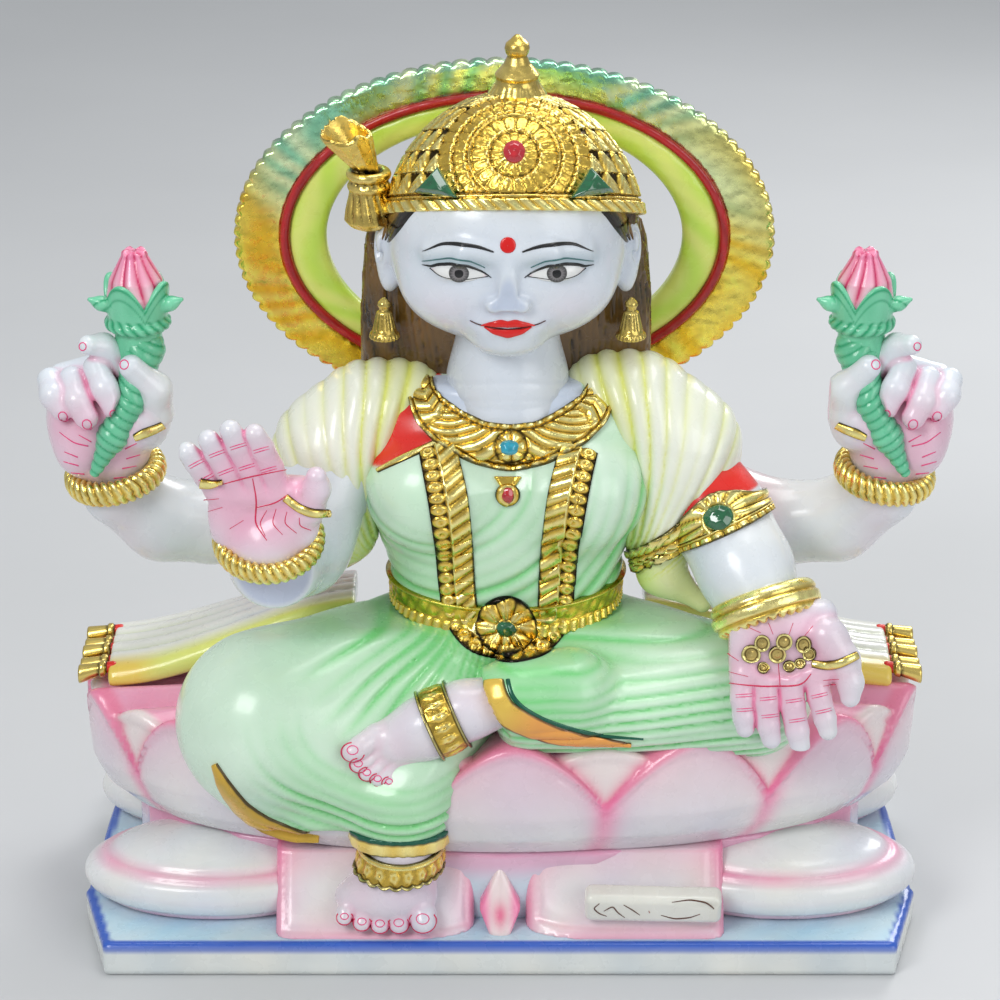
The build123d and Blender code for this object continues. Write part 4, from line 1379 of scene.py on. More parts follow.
def calyx_paint(bud):
    def paint(p, crease_shade):
        q = p - column(bud)
        turn = np.arctan2(q[1], q[0])
        edge = sepal_edge(q, turn)
        line = hump(edge, -2.2, 1.1) + hump(edge, -9.5, 1.0) * 0.7
        rope = smooth(-28, -26, q[2]) * smooth(-15, -17, q[2]) * rope_cut(q, turn)
        # The darker green added in the hollows is painted shade.
        return mixed(
            mixed(LEAF_PALE, LEAF, 0.25 + 0.2 * ripple(p, 8.0)), LEAF,
            np.clip(line + rope * 1.4 + crease_shade * 0.5, 0, 1)
        )

    return paint


def bud_profile(z):
    return np.interp(
        z, (-24, -14, -2, 8, 17, 24, 30), (12, 17, 19.5, 17.5, 12.5, 8.8, 8.2)
    ).astype(np.float32)


def bud_shape(bud):
    def shape(p):
        q = p - column(bud + (-0.5, 0, 0))
        turn, r = polar(q[0], q[1])
        turn = turn + 0.012 * q[2]
        cut = 1.2 * (1 - pleat(turn * 5 / np.pi, 0.6)) * smooth(-10, 2, q[2])
        d = (r - bud_profile(q[2]) + cut) * 0.85
        top = q[2] - 27.5 - 1.2 * np.cos(turn * 5) + 0.12 * (8 - r)
        return smax(smax(d, top, 2), -24 - q[2], 2)

    return shape


def bud_paint(bud):
    def paint(p, crease_shade):
        q = p - column(bud)
        turn = np.arctan2(q[1], q[0]) + 0.012 * q[2]
        line = (1 - pleat(turn * 5 / np.pi, 0.45)) * smooth(-12, 4, q[2])
        base = mixed(
            mixed(WHITE, BLUSH, 0.5), PINK,
            np.clip(0.25 + 0.5 * smooth(0, 22, q[2]) + 0.2 * ripple(p, 9.0), 0, 1)
        )
        return mixed(base, srgb(0.80, 0.05, 0.35), np.clip(line * 1.5, 0, 1))

    return paint


for side, word in SIDES:
    fist = at(f"rear_{word}_hand")
    bud = at("lotus_buds", 0.5 + side * 0.462)
    flip = flipped if side == LEFT else (lambda field: field)
    own_fist, own_bud = fist * (-side, 1, 1), bud * (-side, 1, 1)
    palm_mid = own_fist + (-6, -14, 4)
    last = side == LEFT
    carve(
        f"rear_{word}_fist", flip(fist_shape(own_fist)), f"rear_{word}_hand", (4, 6, 2), (4, 6, 34), 1.2,
        flip(palm_paint(palm_mid, 0.7, 34)),
    )
    sculpt(
        f"lotus_stem_{word}", flip(stem_shape(own_fist)), fist - (48, 46, 34), fist + (48, 34, 82), 1.1,
        flip(stem_paint(own_fist)), marble, ["lotus_stems"] if last else [],
    )
    sculpt(
        f"lotus_calyx_{word}", flip(calyx_shape(own_bud)), bud - (34, 28, 50), bud + (34, 28, 16), 1.0,
        flip(calyx_paint(own_bud)), marble, ["lotus_calyxes"] if last else [],
    )
    sculpt(
        f"lotus_bud_{word}", flip(bud_shape(own_bud)), bud - (24, 24, 28), bud + (24, 24, 32), 1.0,
        flip(bud_paint(own_bud)), marble, ["lotus_buds"] if last else [],
    )

# ------------------------------------------------------------------ shawl over both shoulders

SHAWL = {side: at(f"{word}_shawl") for side, word in SIDES}
SHAWL_DRAPE = {
    RIGHT: off(
        SHAWL[RIGHT], (45, 9, 35, 23), (20, 5, 23, 32), (-4, 2, -3, 38), (-10, -2, -28, 34),
        (-8, -4, -54, 27), (-24, 8, -84, 14), (-58, 18, -92, 8)
    ),
    LEFT: off(
        SHAWL[LEFT], (-45, 8, 38, 24), (-20, 4, 25, 33), (7, 0, -2, 38), (3, -8, -26, 33),
        (-7, -16, -52, 21), (-4, -24, -84, 11), (24, -30, -104, 6)
    ),
}


def drape_folds(p, side):
    """Folds that leave the neck side by side and draw together at the elbow."""
    mid = SHAWL[side]
    x, z = (p[0] - mid[0]) * side, p[2] - mid[2]
    angle = np.arctan2(x + 22 + 0.0016 * (z + 20) ** 2, z + 96)
    return angle * 10.5 + 0.12 * ripple(p, 40.0), smooth(-92, -50, z)


def drape_shape(side):
    def shape(p):
        phase, depth = drape_folds(p, side)
        return limb(p, SHAWL_DRAPE[side], 20) + 3.0 * depth * groove(phase, 0.8)

    return shape


def drape_paint(side):
    mid = SHAWL[side]

    def paint(p, crease_shade):
        phase, depth = drape_folds(p, side)
        x, z = (p[0] - mid[0]) * side, p[2] - mid[2]
        near_elbow = smooth(-30, -80, z)
        fold = np.clip(groove(phase, 0.55) * 1.2, 0, 1)
        inner = smooth(-8, -34, x + 0.12 * z)
        # The yellow deepened in the fold grooves and the hollows is painted shade; the yellow also grows
        # towards the elbow and the inner side.
        weight = np.clip(
            0.95 * fold * depth + 0.5 * near_elbow + 0.35 * inner + 0.4 * crease_shade + 0.1 * ripple(p, 30.0),
            0, 0.95
        )
        cloth = mixed(srgb(0.93, 0.94, 0.88), YELLOW, weight)
        return mixed(cloth, GREEN, 0.25 * inner * smooth(30, -10, z))

    return paint


for side, word in reversed(SIDES):
    sculpt(
        f"{word}_shawl_drape", drape_shape(side), SHAWL[side] - (96, 62, 116), SHAWL[side] + (96, 56, 66),
        1.5, drape_paint(side), marble, [f"{word}_shawl"]
    )


END_LENGTH = 172


def spread_end(p, side):
    """Place on a shawl end: 0 at the waist to 1 at the tassels, -1 to 1 across it, and in its folds."""
    mid = at("right_shawl_end" if side == RIGHT else "left_shawl_end")
    q = p - column(mid)
    run = q[0] * side / END_LENGTH + 0.5
    over = q[1] / (30 + 12 * smooth(0.1, 0.9, run))
    return run, over, over * 3.2 + 0.3 * np.sin(run * 3) + 40, q[2]


def shawl_end_shape(side):
    def shape(p):
        run, over, phase, z = spread_end(p, side)
        top = 38 - 46 * smooth(-0.05, 1.05, run) - 5 * over ** 2
        thick = 13 + 8 * (1 - run)
        body = np.maximum(z - top + 2.6 * groove(phase, 0.7), top - thick - z)
        edge = (np.abs(over) - 1) * 36
        return smax(smax(body, edge, 7.0), np.abs(run - 0.5) * END_LENGTH - 84, 3.0)

    return shape


def shawl_end_paint(side):
    def paint(p, crease_shade):
        run, over, phase, _ = spread_end(p, side)
        fold = groove(phase, 0.5)
        # The blue-grey in the fold grooves is painted shade; it also grows towards the waist end.
        cloth = mixed(
            WHITE, srgb(0.74, 0.80, 0.90), np.clip(0.6 * fold + 0.3 * smooth(0.7, 0.2, run), 0, 0.7)
        )
        front = smooth(0.45, 0.95, -over)
        cloth = mixed(cloth, YELLOW, np.clip(front + 0.5 * fold * smooth(0.3, 0.8, run), 0, 0.9))
        return mixed(cloth, srgb(0.96, 0.78, 0.30), np.clip(front * smooth(0.75, 0.95, run), 0, 0.7))

    return paint


for side, word in SIDES:
    carve(
        f"{word}_shawl_spread", shawl_end_shape(side), f"{word}_shawl_end", 4, 5, 1.5, shawl_end_paint(side),
    )
    low, high = corners(f"{word}_tassels")
    mid = (low + high) / 2
    rows = np.linspace(low[1] + 7, high[1] - 7, 5)

    def tassels_shape(p, mid=mid, rows=rows, side=side):
        q = p.copy()
        q[0] = (p[0] - mid[0]) * side
        cones = []
        for number, y in enumerate(rows):
            lift = 1.2 * (-1) ** number
            cone = rod(q, (-12, y, mid[2] + 4 + lift, 3.4), (12.5, y * 1.03, mid[2] - 2 + lift, 6.6))
            ring = smax(cone - 1.2, np.abs(q[0] + 5) - 2.0, 1.0)
            cones.append(np.minimum(smax(cone, q[0] - 11.5, 1.5), ring))
        return blend_all(cones, 1.2)

    def tassels_paint(p, crease_shade, mid=mid, side=side):
        x = (p[0] - mid[0]) * side
        # The dark gold in the hollows is painted shade; the thin dark ring beside the red is a painted line.
        gilt_part = mixed(
            mixed(GOLD, GOLD_PALE, 0.4), GOLD_DARK, np.clip(crease_shade * 1.4 + (np.abs(x + 8.6) < 0.9), 0, 1)
        )
        red = smooth(-7.5, -9.0, x)
        return mixed(gilt_part, RED, red), 1 - red

    carve(f"{word}_tassel_row", tassels_shape, f"{word}_tassels", 4, (4, 4, 6), 0.9, tassels_paint)

# ------------------------------------------------------------------ the crown's dome and rim

crown_low, crown_high = corners("crown")
crown = (crown_low + crown_high) / 2
CROWN_FOOT = crown_low[2]


def crown_body(p):
    return ellipsoid(p, (crown[0], crown[1] - 3, CROWN_FOOT - 2), (84, 70, crown_high[2] - CROWN_FOOT))


def crown_foot(p):
    """The rim's height: level at the back, rising over the forehead."""
    return CROWN_FOOT + np.clip(9 - 0.39 * p[1], 0, 60)


# ------------------------------------------------------------------ hair

hair = at("hair")
HAIR_LEVELS = [
    (hair[2] - 95, hair[0], hair[1] + 3, 72, 26), (hair[2] - 70, hair[0], hair[1] + 3, 86, 29),
    (hair[2] - 40, hair[0], hair[1] + 1, 97, 32), (hair[2] + 5, hair[0], hair[1], 97, 33),
    (hair[2] + 50, hair[0], hair[1] - 2, 93, 33), (hair[2] + 95, hair[0], hair[1] - 6, 80, 32),
]


def strand_phase(p):
    q = p - column(hair)
    round_it = np.arctan2(q[0] / 97, -q[1] / 33)
    return round_it * 20 + 0.5 * np.sin(q[2] / 26.0) + 0.35 * ripple(p, 22.0)


def hair_shape(p):
    body = drum(p, HAIR_LEVELS, 2.6)
    temple = ellipsoid(p, head + (0, 6, 16), (83, 58, 60))
    forelock = smax(temple, head[2] + 4 + 0.004 * (p[0] - head[0]) ** 2 - p[2], 4)
    body = smin(body, smax(temple, -10 - p[1], 6), 10)
    body = np.minimum(body, smax(forelock, -(p[1] + 56), 4))
    cut = 1.5 * groove(strand_phase(p), 0.7) + 0.5 * groove(strand_phase(p) * 2.7, 0.8)
    under_crown = np.minimum(crown_body(p) + 3.5, p[2] - crown_foot(p))
    body = smax(body, under_crown, 2)
    ends = hair[2] - 92 + 4 * np.abs(np.sin(strand_phase(p) * 1.2)) - p[2]
    return smax(smax(body + cut, ends, 3), p[2] - hair[2] - 93, 3)


def hair_paint(p, crease_shade):
    fold = groove(strand_phase(p), 0.5)
    weight = np.clip(fold * 0.9 + 0.35 * ripple(p, 18.0) + 0.25, 0, 1)
    tone = mixed(HAIR, HAIR_DARK, weight)
    return mixed(tone, HAIR_DARK, 0.7 * smooth(head[2] - 4, head[2] + 20, p[2]) * (p[1] < 0))


carve("hair_locks", hair_shape, "hair", (6, 40, 4), (6, 5, 4), 1.7, hair_paint)

# ------------------------------------------------------------------ halo

halo_low, halo_high = corners("halo_rim")
halo = (halo_low + halo_high) / 2
SCALLOPS = 96


def ring_plate(name, node, outer, inner, front, bulge, relief, paint, material, scalloped, steps=14):
    """An upright oval ring with a back as in the CAD. outer and inner are (half width, half height).
    relief(turn, t) is added to the front, with t from 0 at the inner edge to 1 at the outer one."""
    around, back = 960, corners(node)[1][1]
    turn, t = round_grid(around, 0, 1, steps)
    edge = 1 - scalloped * 0.018 * (1 - np.abs(np.sin(turn * SCALLOPS / 2)) ** 0.7) * smooth(0.85, 1, t)
    wide, tall = (inner[i] + (outer[i] - inner[i]) * t for i in (0, 1))
    x, z = halo[0] + wide * edge * np.cos(turn), halo[2] + tall * edge * np.sin(turn)
    height = relief(turn, t)
    rounding = 1.6 * (np.exp(-t * 14) + np.exp(-(1 - t) * 14))
    y = front - height - bulge * 4 * t * (1 - t) + rounding
    top = np.stack([x, y, z]).reshape(3, -1)
    under = np.stack([x, np.full_like(x, back), z]).reshape(3, -1)
    grid = np.arange(around * steps).reshape(around, steps)
    after = np.roll(grid, -1, 0)
    face = np.stack([grid[:, :-1], after[:, :-1], after[:, 1:], grid[:, 1:]], -1).reshape(-1, 4)
    total = around * steps
    quads = [face, face[:, ::-1] + total]
    for a, b in ((after[:, 0], grid[:, 0]), (grid[:, -1], after[:, -1])):
        quads.append(np.stack([a, b, b + total, a + total], -1))
    colour = paint(turn, t, height)
    tint = np.tile(colour.reshape(3, -1), 2)
    verts = np.concatenate([top, under], 1)
    gild = np.full(2 * total, float(material is gold))
    return finished(
        mesh_object(name, verts, outward(verts, np.concatenate(quads)), tint, gild), material, [node],
    )


def hammered(turn, t):
    """Leaf laid in overlapping squares, each a little proud of the next, and beaten."""
    squares = np.sin(turn * 41 + 3 * np.sin(t * 9)) * np.sin(t * 13 + 2 * np.sin(turn * 23))
    dents = np.sin(turn * 187 + 9 * t) * np.sin(t * 37 + turn * 61)
    return 0.35 * squares + 0.14 * dents


def rim_paint(turn, t, height):
    up = smooth(-0.1, 0.9, np.sin(turn) + 0.25 * np.sin(turn * 5 + 2 * t))
    streak = 0.5 + 0.5 * np.sin(turn * 29 + 5 * np.sin(turn * 7) + 4 * t)
    leaf = mixed(srgb(0.98, 0.78, 0.17), srgb(1.0, 0.93, 0.44), 0.15 + 0.7 * streak)
    # The teal over the upper part of the rim is a painted reflection.
    teal_reflection = mixed(srgb(0.48, 0.86, 0.74), srgb(0.86, 0.97, 0.80), streak)
    return mixed(leaf, teal_reflection, 0.88 * up)


def flat_paint(one, other, count):
    def paint(turn, t, height):
        return mixed(one, other, 0.5 + 0.5 * np.sin(turn * count + 3 * np.sin(turn * 5) + 6 * t))

    return paint


def halo_halves(node):
    """Half the width and half the height of one of the halo's rings."""
    return (corners(node)[1] - halo)[[0, 2]]


ring_plate(
    "halo_gilt_rim", "halo_rim", halo_halves("halo_rim"), (149, 101), halo_low[1] + 0.6, 0, hammered,
    rim_paint, gold, scalloped=1
)
ring_plate(
    "halo_red_line", "halo_line", halo_halves("halo_line"), halo_halves("halo_line") - 6.5,
    corners("halo_line")[0][1] + 0.2, 0.8, lambda turn, t: 0.15 * np.sin(turn * 60),
    flat_paint(srgb(0.62, 0.06, 0.08), srgb(0.74, 0.12, 0.14), 9), marble, scalloped=0, steps=8,
)
ring_plate(
    "halo_lime_band", "halo_band", halo_halves("halo_band"), (119, 81), corners("halo_band")[0][1] + 1.5, 1.8,
    lambda turn, t: 0.18 * np.sin(turn * 33 + 5 * t) * np.sin(t * 7),
    flat_paint(LIME, srgb(0.92, 0.97, 0.50), 7), marble, scalloped=0,
)

# ------------------------------------------------------------------ crown, finial and side plume

JEWEL = march(crown_body, column((crown[0], -60, crown[2] + 25) - 60 * np.array(VIEW)), column(VIEW))
JEWEL_OUT = gradient(crown_body, JEWEL)
JEWEL_UP = np.cross(JEWEL_OUT.ravel(), (1, 0, 0)).reshape(3, 1)


CROWN_REACH = 80.0  # its radius at the rim


def crown_places(p):
    """Where a point is on the crown: along the rim, over the rim, and polar about the jewel."""
    run = np.arctan2(p[0] - crown[0], -(p[1] - crown[1])) * CROWN_REACH
    gap = p - JEWEL
    far = np.sqrt((gap * gap).sum(0))
    ray = np.arctan2((gap * JEWEL_UP).sum(0), gap[0])
    return run, p[2] - crown_foot(p), far, ray


def petal_ring(far, ray, count, inner, outer, shift):
    """A ring of round-ended petals, each with a groove down the middle and a raised edge."""
    across = np.abs(np.cos(ray * count / 2 + shift))
    reach = np.clip((far - inner) / (outer - inner), 0, 1)
    shape = across ** 0.6 * np.sqrt(np.clip(1 - reach ** 3.5, 0, 1)) * smooth(0.0, 0.2, reach)
    hollow = smooth(0.55, 0.85, shape) * smooth(0.1, 0.35, reach) * 0.42
    return np.where((far >= inner) & (far < outer), shape - hollow, 0)


def scroll_leaf(run, rise):
    """Overlapping curled leaves in rows, for the sides and the back."""
    pitch = 15.0
    row = np.floor(rise / pitch)
    u = (run / pitch + 0.5 * (row % 2)) % 1.0 * 2 - 1
    v = rise / pitch - row
    leaf = np.clip(1 - (np.abs(u) / np.clip(1.08 - v ** 2.2, 0.05, 1)) ** 2.4, 0, 1) ** 0.5
    return leaf * (0.66 + 0.34 * np.abs(np.sin(v * 9 + np.abs(u) * 5.5)))


def crown_relief(p):
    run, rise, far, ray = crown_places(p)
    rope = smooth(8.6, 7.6, rise) * (0.30 + 0.70 * np.abs(np.sin((run + 1.2 * rise) / 3.4)) ** 0.8)
    fillet = hump(rise, 10, 0.9) * 0.85
    cloth = smooth(12, 13, rise)
    rosette = petal_ring(far, ray, 12, 6, 15, 0.0) + petal_ring(far, ray, 18, 15, 28, 0.4)
    ring = hump(far, 29.3, 0.8) * 0.8
    scales = petal_ring(far, ray, 30, 30.5, 40, 0.0) + petal_ring(far, ray, 34, 40, 51, 0.3)
    leaves = np.where(far > 51, scroll_leaf(run, rise - 12), 0)
    boss = smooth(8, 6.5, far)
    field = highest(rosette + scales + leaves, ring, boss)
    return np.clip(rope + fillet + cloth * field, 0, 1.1)


def crown_shape(p):
    rise = p[2] - crown_foot(p)
    d = crown_body(p) - 1.4 * smooth(10, 7, rise) - 2.6 * crown_relief(p) + 1.0
    return smax(d, -rise, 1.5)


def crown_paint(p, crease_shade):
    # Pale gold on the raised carving is a painted highlight and dark gold in the ground between is painted
    # shade.
    return gilt_tone(crown_relief(p), (0.5, 0.95), (0.02, 0.34)), np.ones(p.shape[1])


carve("crown_dome", crown_shape, "crown", (4, 6, 2), 4, 1.0, crown_paint, gold)

finial = at("crown_finial")
FINIAL = [
    (-28, 20), (-20, 21), (-12, 19.5), (-4, 14.5), (-1, 13.5), (1.5, 14.5), (4, 12.5), (9, 8.5),
    (14, 6.2), (16, 7.6), (19, 8.2), (22, 7.4), (24.5, 4.6), (26, 3.2), (28.5, 0.8)
]


def lathe_radius(table, z):
    table = np.array(table, float)
    return np.interp(z, table[:, 0], table[:, 1]).astype(np.float32)


def finial_shape(p):
    q = p - column(finial)
    turn, r = polar(q[0], q[1])
    flute = 0.7 * (1 - pleat(turn * 9 / np.pi, 0.6)) * smooth(-2, -6, q[2]) * smooth(-24, -18, q[2])
    d = (r - lathe_radius(FINIAL, q[2]) + flute) * 0.75
    return smax(smax(d, q[2] - 28, 1.0), -28 - q[2], 1.0)


def gold_paint(p, crease_shade):
    tone = mixed(GOLD, GOLD_PALE, 0.35 + 0.25 * ripple(p, 12.0))
    # The dark gold in the hollows is painted shade.
    return mixed(tone, GOLD_DARK, np.clip(crease_shade * 1.3, 0, 0.95)), np.ones(p.shape[1])


carve("kalash_finial", finial_shape, "crown_finial", 2, 3, 0.8, gold_paint, gold)

plume = at("crown_plume")


def plume_shape(p):
    """A tied spray: a fluted knot below, a ringed waist, and a flared and ribbed mouth above."""
    q = p - column(plume)
    turn, r = polar(q[0] - 8, q[1])
    knot = (
        r
        - lathe_radius(
            [(-37, 5), (-33, 13), (-29, 16.5), (-22, 15.5), (-14, 13.5), (-6, 12), (0, 13)], q[2]
        )
    ) * 0.8
    knot = knot + 1.1 * (1 - pleat(turn * 7 / np.pi + q[2] / 30, 0.7)) * smooth(-31, -27, q[2])
    knot = smax(smax(knot, q[2] - 1, 2), -37 - q[2], 2)
    rings = blend_all(
        [
            np.sqrt((r - 11.5) ** 2 + (q[2] - z) ** 2) - size
            for z, size in ((1.5, 3.2), (-6.5, 2.6), (-27, 2.8))
        ],
        0.8
    )
    start, mouth = (9, 0, 2), (-6, -5, 33)
    axis = np.array(mouth) - start
    ring = np.arctan2(q[1] * 1.4, q[0] - 9 + 0.5 * q[2])
    horn = rod(p, (*(plume + start), 6.5), (*(plume + mouth), 17.5)) + 0.7 * np.abs(np.sin(ring * 7)) ** 0.7
    bore = rod(p, (*(plume + start), 2.0), (*(plume + mouth + axis * 0.12), 16.0))
    slant = 33 + 1.2 * np.abs(np.sin(ring * 7)) - 0.42 * q[0] - q[2]
    fan = smax(smax(horn, -bore, 1.0), -slant, 1.2)
    fan = smax(fan, 2 - q[2], 1)
    return blend_all([knot, rings, fan], 2.0)


carve("crown_side_plume", plume_shape, "crown_plume", 4, (6, 5, 5), 0.95, gold_paint, gold)

# ------------------------------------------------------------------ earrings

earring_mid = at("earrings")
BELL = [
    (-14, 9.5), (-12.5, 10.3), (-10.5, 9.6), (-9, 8.3), (-2, 6.6), (4, 5.2), (6, 3.2), (7.5, 3.6),
    (9, 4.4), (11, 4.0), (13, 2.2), (14.5, 0.8)
]
bell_low, bell_high = corners("earrings")
for side, word in SIDES:
    hang = np.array(
        [(bell_high[0] if side == LEFT else bell_low[0]) - side * 10.5, earring_mid[1], earring_mid[2]]
    )

    def bell_shape(p, hang=hang):
        q = p - column(hang)
        turn, r = polar(q[0], q[1])
        flute = 0.8 * (1 - pleat(turn * 7 / np.pi, 0.6)) * smooth(-8, -6, q[2]) * smooth(5, 3, q[2])
        beads = 0.9 * (1 - pleat(turn * 10 / np.pi, 0.7)) * smooth(-9.5, -11, q[2])
        d = (r - lathe_radius(BELL, q[2]) + flute + beads) * 0.75
        return smax(smax(d, q[2] - 14.5, 1), -14 - q[2], 1)

    sculpt(
        f"{word}_bell_earring", bell_shape, hang - (13, 13, 16), hang + (13, 13, 17), 0.65, gold_paint, gold,
        ["earrings"] if side == LEFT else [],
    )

# ------------------------------------------------------------------ necklaces, belt and their stones


def bosom(p):
    return smin(torso_shape(p), neck_shape(p), 4)


def lap(p):
    return smin(bosom(p), skirt_shape(p), 4)


def edge_line(t, width=0.1):
    """1 on the dark outline at the two edges of a band."""
    return smooth(1 - width * 1.6, 1 - width * 0.6, np.abs(t))


collar = at("collar_necklace")
COLLAR = off(
    collar, (-56.5, 18, 36, 7.5), (-56, 14, 27, 9.5), (-50, 6, 17, 12), (-38, -4, 10, 14),
    (-18, -20, 6, 14.5), (1.5, -24, 4, 15.5), (22, -20, 6, 14.5), (43, -4, 11, 14), (56, 6, 19, 12),
    (60, 14, 29, 9.5), (59, 18, 37, 7.5)
)


def collar_relief(s, t):
    """Braid up the neck; in front a plate of flutes that spread from the middle, between scalloped edges."""
    whole = s.max()
    middle = np.abs(s - whole / 2)
    scallop = 0.25 + 0.75 * np.abs(np.sin(s / 3.1)) ** 0.7
    rim = smooth(0.72, 0.84, np.abs(t)) * scallop
    braid_part = np.abs(np.sin(s / 2.6 + 2.4 * np.abs(t - 0.1))) ** 0.7 * smooth(0.74, 0.64, np.abs(t))
    flutes = np.abs(np.sin(s * 0.30 + t * (1.9 + middle * 0.03) * np.sign(s - whole / 2) * 2.0)) ** 0.6
    plate = flutes * smooth(0.74, 0.60, np.abs(t))
    from_gem = np.sqrt(middle ** 2 + (t * 15 - 1) ** 2)
    turn = np.arctan2(t * 15, s - whole / 2)
    flower = smooth(12, 10.5, from_gem)
    petals = np.abs(np.cos(turn * 3)) ** 0.5 * smooth(11.5, 7, from_gem)
    body = mixed(plate, braid_part, smooth(52, 62, middle))
    body = mixed(body, petals, flower)
    return 1.2 + 2.2 * np.maximum(body, rim * (1 - flower))


def gold_band_paint(base, span, width=0.11):
    """Gold darkened in the cuts and along both edges."""

    def paint(s, t, height):
        h = (height - base) / span
        # Pale on the ridges is a painted highlight and dark in the cuts is painted shade; the black at both
        # edges is a painted outline.
        tone = gilt_tone(h, (0.65, 1.0), (0.08, 0.5))
        return mixed(tone, BLACK, 0.85 * edge_line(t, width))

    return paint


gilt(
    "collar_carving", ["collar_necklace"],
    laid_band(
        bosom, COLLAR, collar_relief, gold_band_paint(1.2, 2.2, 0.05), spacing=0.55, lines=45, sink=2.5
    )
)


BLOUSE_EDGE = off(chest, (-84, -40, 35, 1.4), (-67, -40, 44, 2.2), (-52, -40, 51.5, 2.2), (-42, -40, 57, 1.8))
gilt(
    "blouse_edge", [],
    laid_band(
        torso_shape, BLOUSE_EDGE, lambda s, t: 0.5 + 0.9 * half_round(t), gold_band_paint(0.5, 0.9, 0.22),
        lines=11
    )
)


def pendant_relief(turn, r):
    return 1.5 + 2.6 * np.sqrt(np.clip(1 - r ** 4, 0, 1)) * (0.8 + 0.2 * hump(r, 0.72, 0.12))


def gold_disc_paint(base, span):
    def paint(turn, r, height):
        h = (height - base) / span
        # Pale on the raised parts is a painted highlight and dark in the low parts is painted shade; the
        # black at the rim is a painted outline.
        tone = gilt_tone(h, (0.6, 1.0), (0.1, 0.5))
        return mixed(tone, BLACK, smooth(0.9, 0.97, r) * 0.85)

    return paint


drop = at("collar_pendant")
gilt(
    "drop_pendant", ["collar_pendant"],
    laid_disc(
        bosom, drop + (0, 0, 3.5), 8.2, pendant_relief, gold_disc_paint(1.5, 2.6), squash=(1, 0.9), sink=2
    ),
    laid_band(
        bosom, off(drop, (0, 0, 16, 9), (0, 0, 7, 3.4)), lambda s, t: 2.6 + 0 * s, plain(GOLD), sink=2,
        lines=9
    )
)

necklace = at("long_necklace")
NECKLACE = off(
    necklace, (-45.5, -12, 66, 12), (-42, -12, 50, 12.5), (-38, -12, 30, 13), (-34, -12, -6, 12.5),
    (-32, -12, -38, 12), (-29.5, -12, -58, 11.5), (-19, -12, -72, 11), (3, -12, -77, 11),
    (24, -12, -72, 11), (32, -12, -58, 11.5), (33, -12, -38, 12), (35, -12, -6, 12.5), (40, -12, 30, 13),
    (44, -12, 50, 12.5), (48, -12, 64, 12)
)


def necklace_relief(s, t):
    """Leaves laid slantwise on the outer side of a rib and a row of round scales on the inner side."""
    inner_side = -t
    leaf = np.abs(np.sin(s / 2.9 + 2.6 * (t + 0.35))) ** 0.6
    outer = leaf * smooth(0.10, 0.0, inner_side) * smooth(1.02, 0.9, np.abs(t)) * 0.95
    cell = (s / 8.2) % 1.0 * 2 - 1
    v = (inner_side - 0.52) / 0.42
    far = np.sqrt(cell ** 2 + v ** 2)
    scale = np.sqrt(np.clip(1 - far ** 2, 0, 1)) * (1 - 0.55 * hump(far, 0.0, 0.32))
    rib = hump(inner_side, 0.06, 0.05)
    return 1.1 + 2.2 * highest(outer, scale * (inner_side > 0.08), rib)


gilt(
    "long_necklace_carving", ["long_necklace"],
    laid_band(
        lap, NECKLACE, necklace_relief, gold_band_paint(1.1, 2.2, 0.07), spacing=0.6, lines=37, sink=2.5
    )
)

belt = at("belt")


def waist(p):
    return smin(torso_body(p), ellipsoid(p, hips_mid + (1, 0, -2), (92, 59, 50)), 10)


def belt_band():
    """The belt, dropped on the waist from all round."""
    around, lines = 620, 27
    turn, t = round_grid(around, -1, 1, lines)
    sag = 9 * np.clip(-np.sin(turn), 0, 1) ** 2
    half = 9.5 + 1.6 * np.clip(-np.sin(turn), 0, 1)
    scallop = 1 - 0.14 * (1 - np.abs(np.sin(turn * 38)) ** 0.7) * (t > 0.5)
    x, y = belt[0] + 100 * np.cos(turn), belt[1] + 1 + 70 * np.sin(turn)
    z = belt[2] + 3 - sag - half * t * scallop
    rows = np.stack([x, y, z])
    ahead = np.stack([-70 * np.cos(turn), -100 * np.sin(turn), 0 * turn])
    ahead /= np.sqrt((ahead ** 2).sum(0))
    fan = np.abs(np.sin(turn * 38 + 0.6 * t)) ** 0.5 * smooth(0.15, 0.4, t)
    weave = (0.5 + 0.5 * np.sin(turn * 57 + 4 * t)) * (
        0.5 + 0.5 * np.sin(turn * 23 - 5 * t)
    ) * smooth(0.3, 0.1, t)
    rim = smooth(0.80, 0.88, -t)
    height = 1.6 + 1.6 * highest(fan, 0.30 + 0.50 * weave, rim)
    tone = gold_band_paint(1.6, 1.6, 0.05)(turn, t, height)
    # The brighter yellow on the raised work is a painted highlight.
    bright = mixed(tone, srgb(0.93, 0.86, 0.22), 0.45 * smooth(1.6, 2.6, height))
    return laid_sheet(waist, rows, height, bright, ahead, back=0.0, sink=3.0, closed=True)


gilt("belt_carving", ["belt"], belt_band())

medallion = at("belt_medallion")


def medallion_relief(turn, r):
    lobes = 0.93 + 0.07 * np.abs(np.cos(turn * 4)) ** 0.6
    petals = np.abs(np.cos(turn * 4)) ** 0.45 * np.sqrt(
        np.clip(1 - (r / lobes) ** 4, 0, 1)
    ) * smooth(0.22, 0.34, r)
    vein = 0.30 * hump(np.sin(turn * 4), 0, 0.12) * smooth(0.35, 0.5, r) * smooth(0.95, 0.8, r)
    boss = smooth(0.36, 0.26, r) * 0.8
    return 4.0 + 2.6 * np.maximum(petals - vein, boss)


gilt(
    "belt_flower", ["belt_medallion"],
    laid_disc(
        lap, medallion + (0, 0, -5), 20, medallion_relief, gold_disc_paint(4.0, 2.6), around=160,
        rings=30, squash=(1, 1.02), sink=2
    )
)


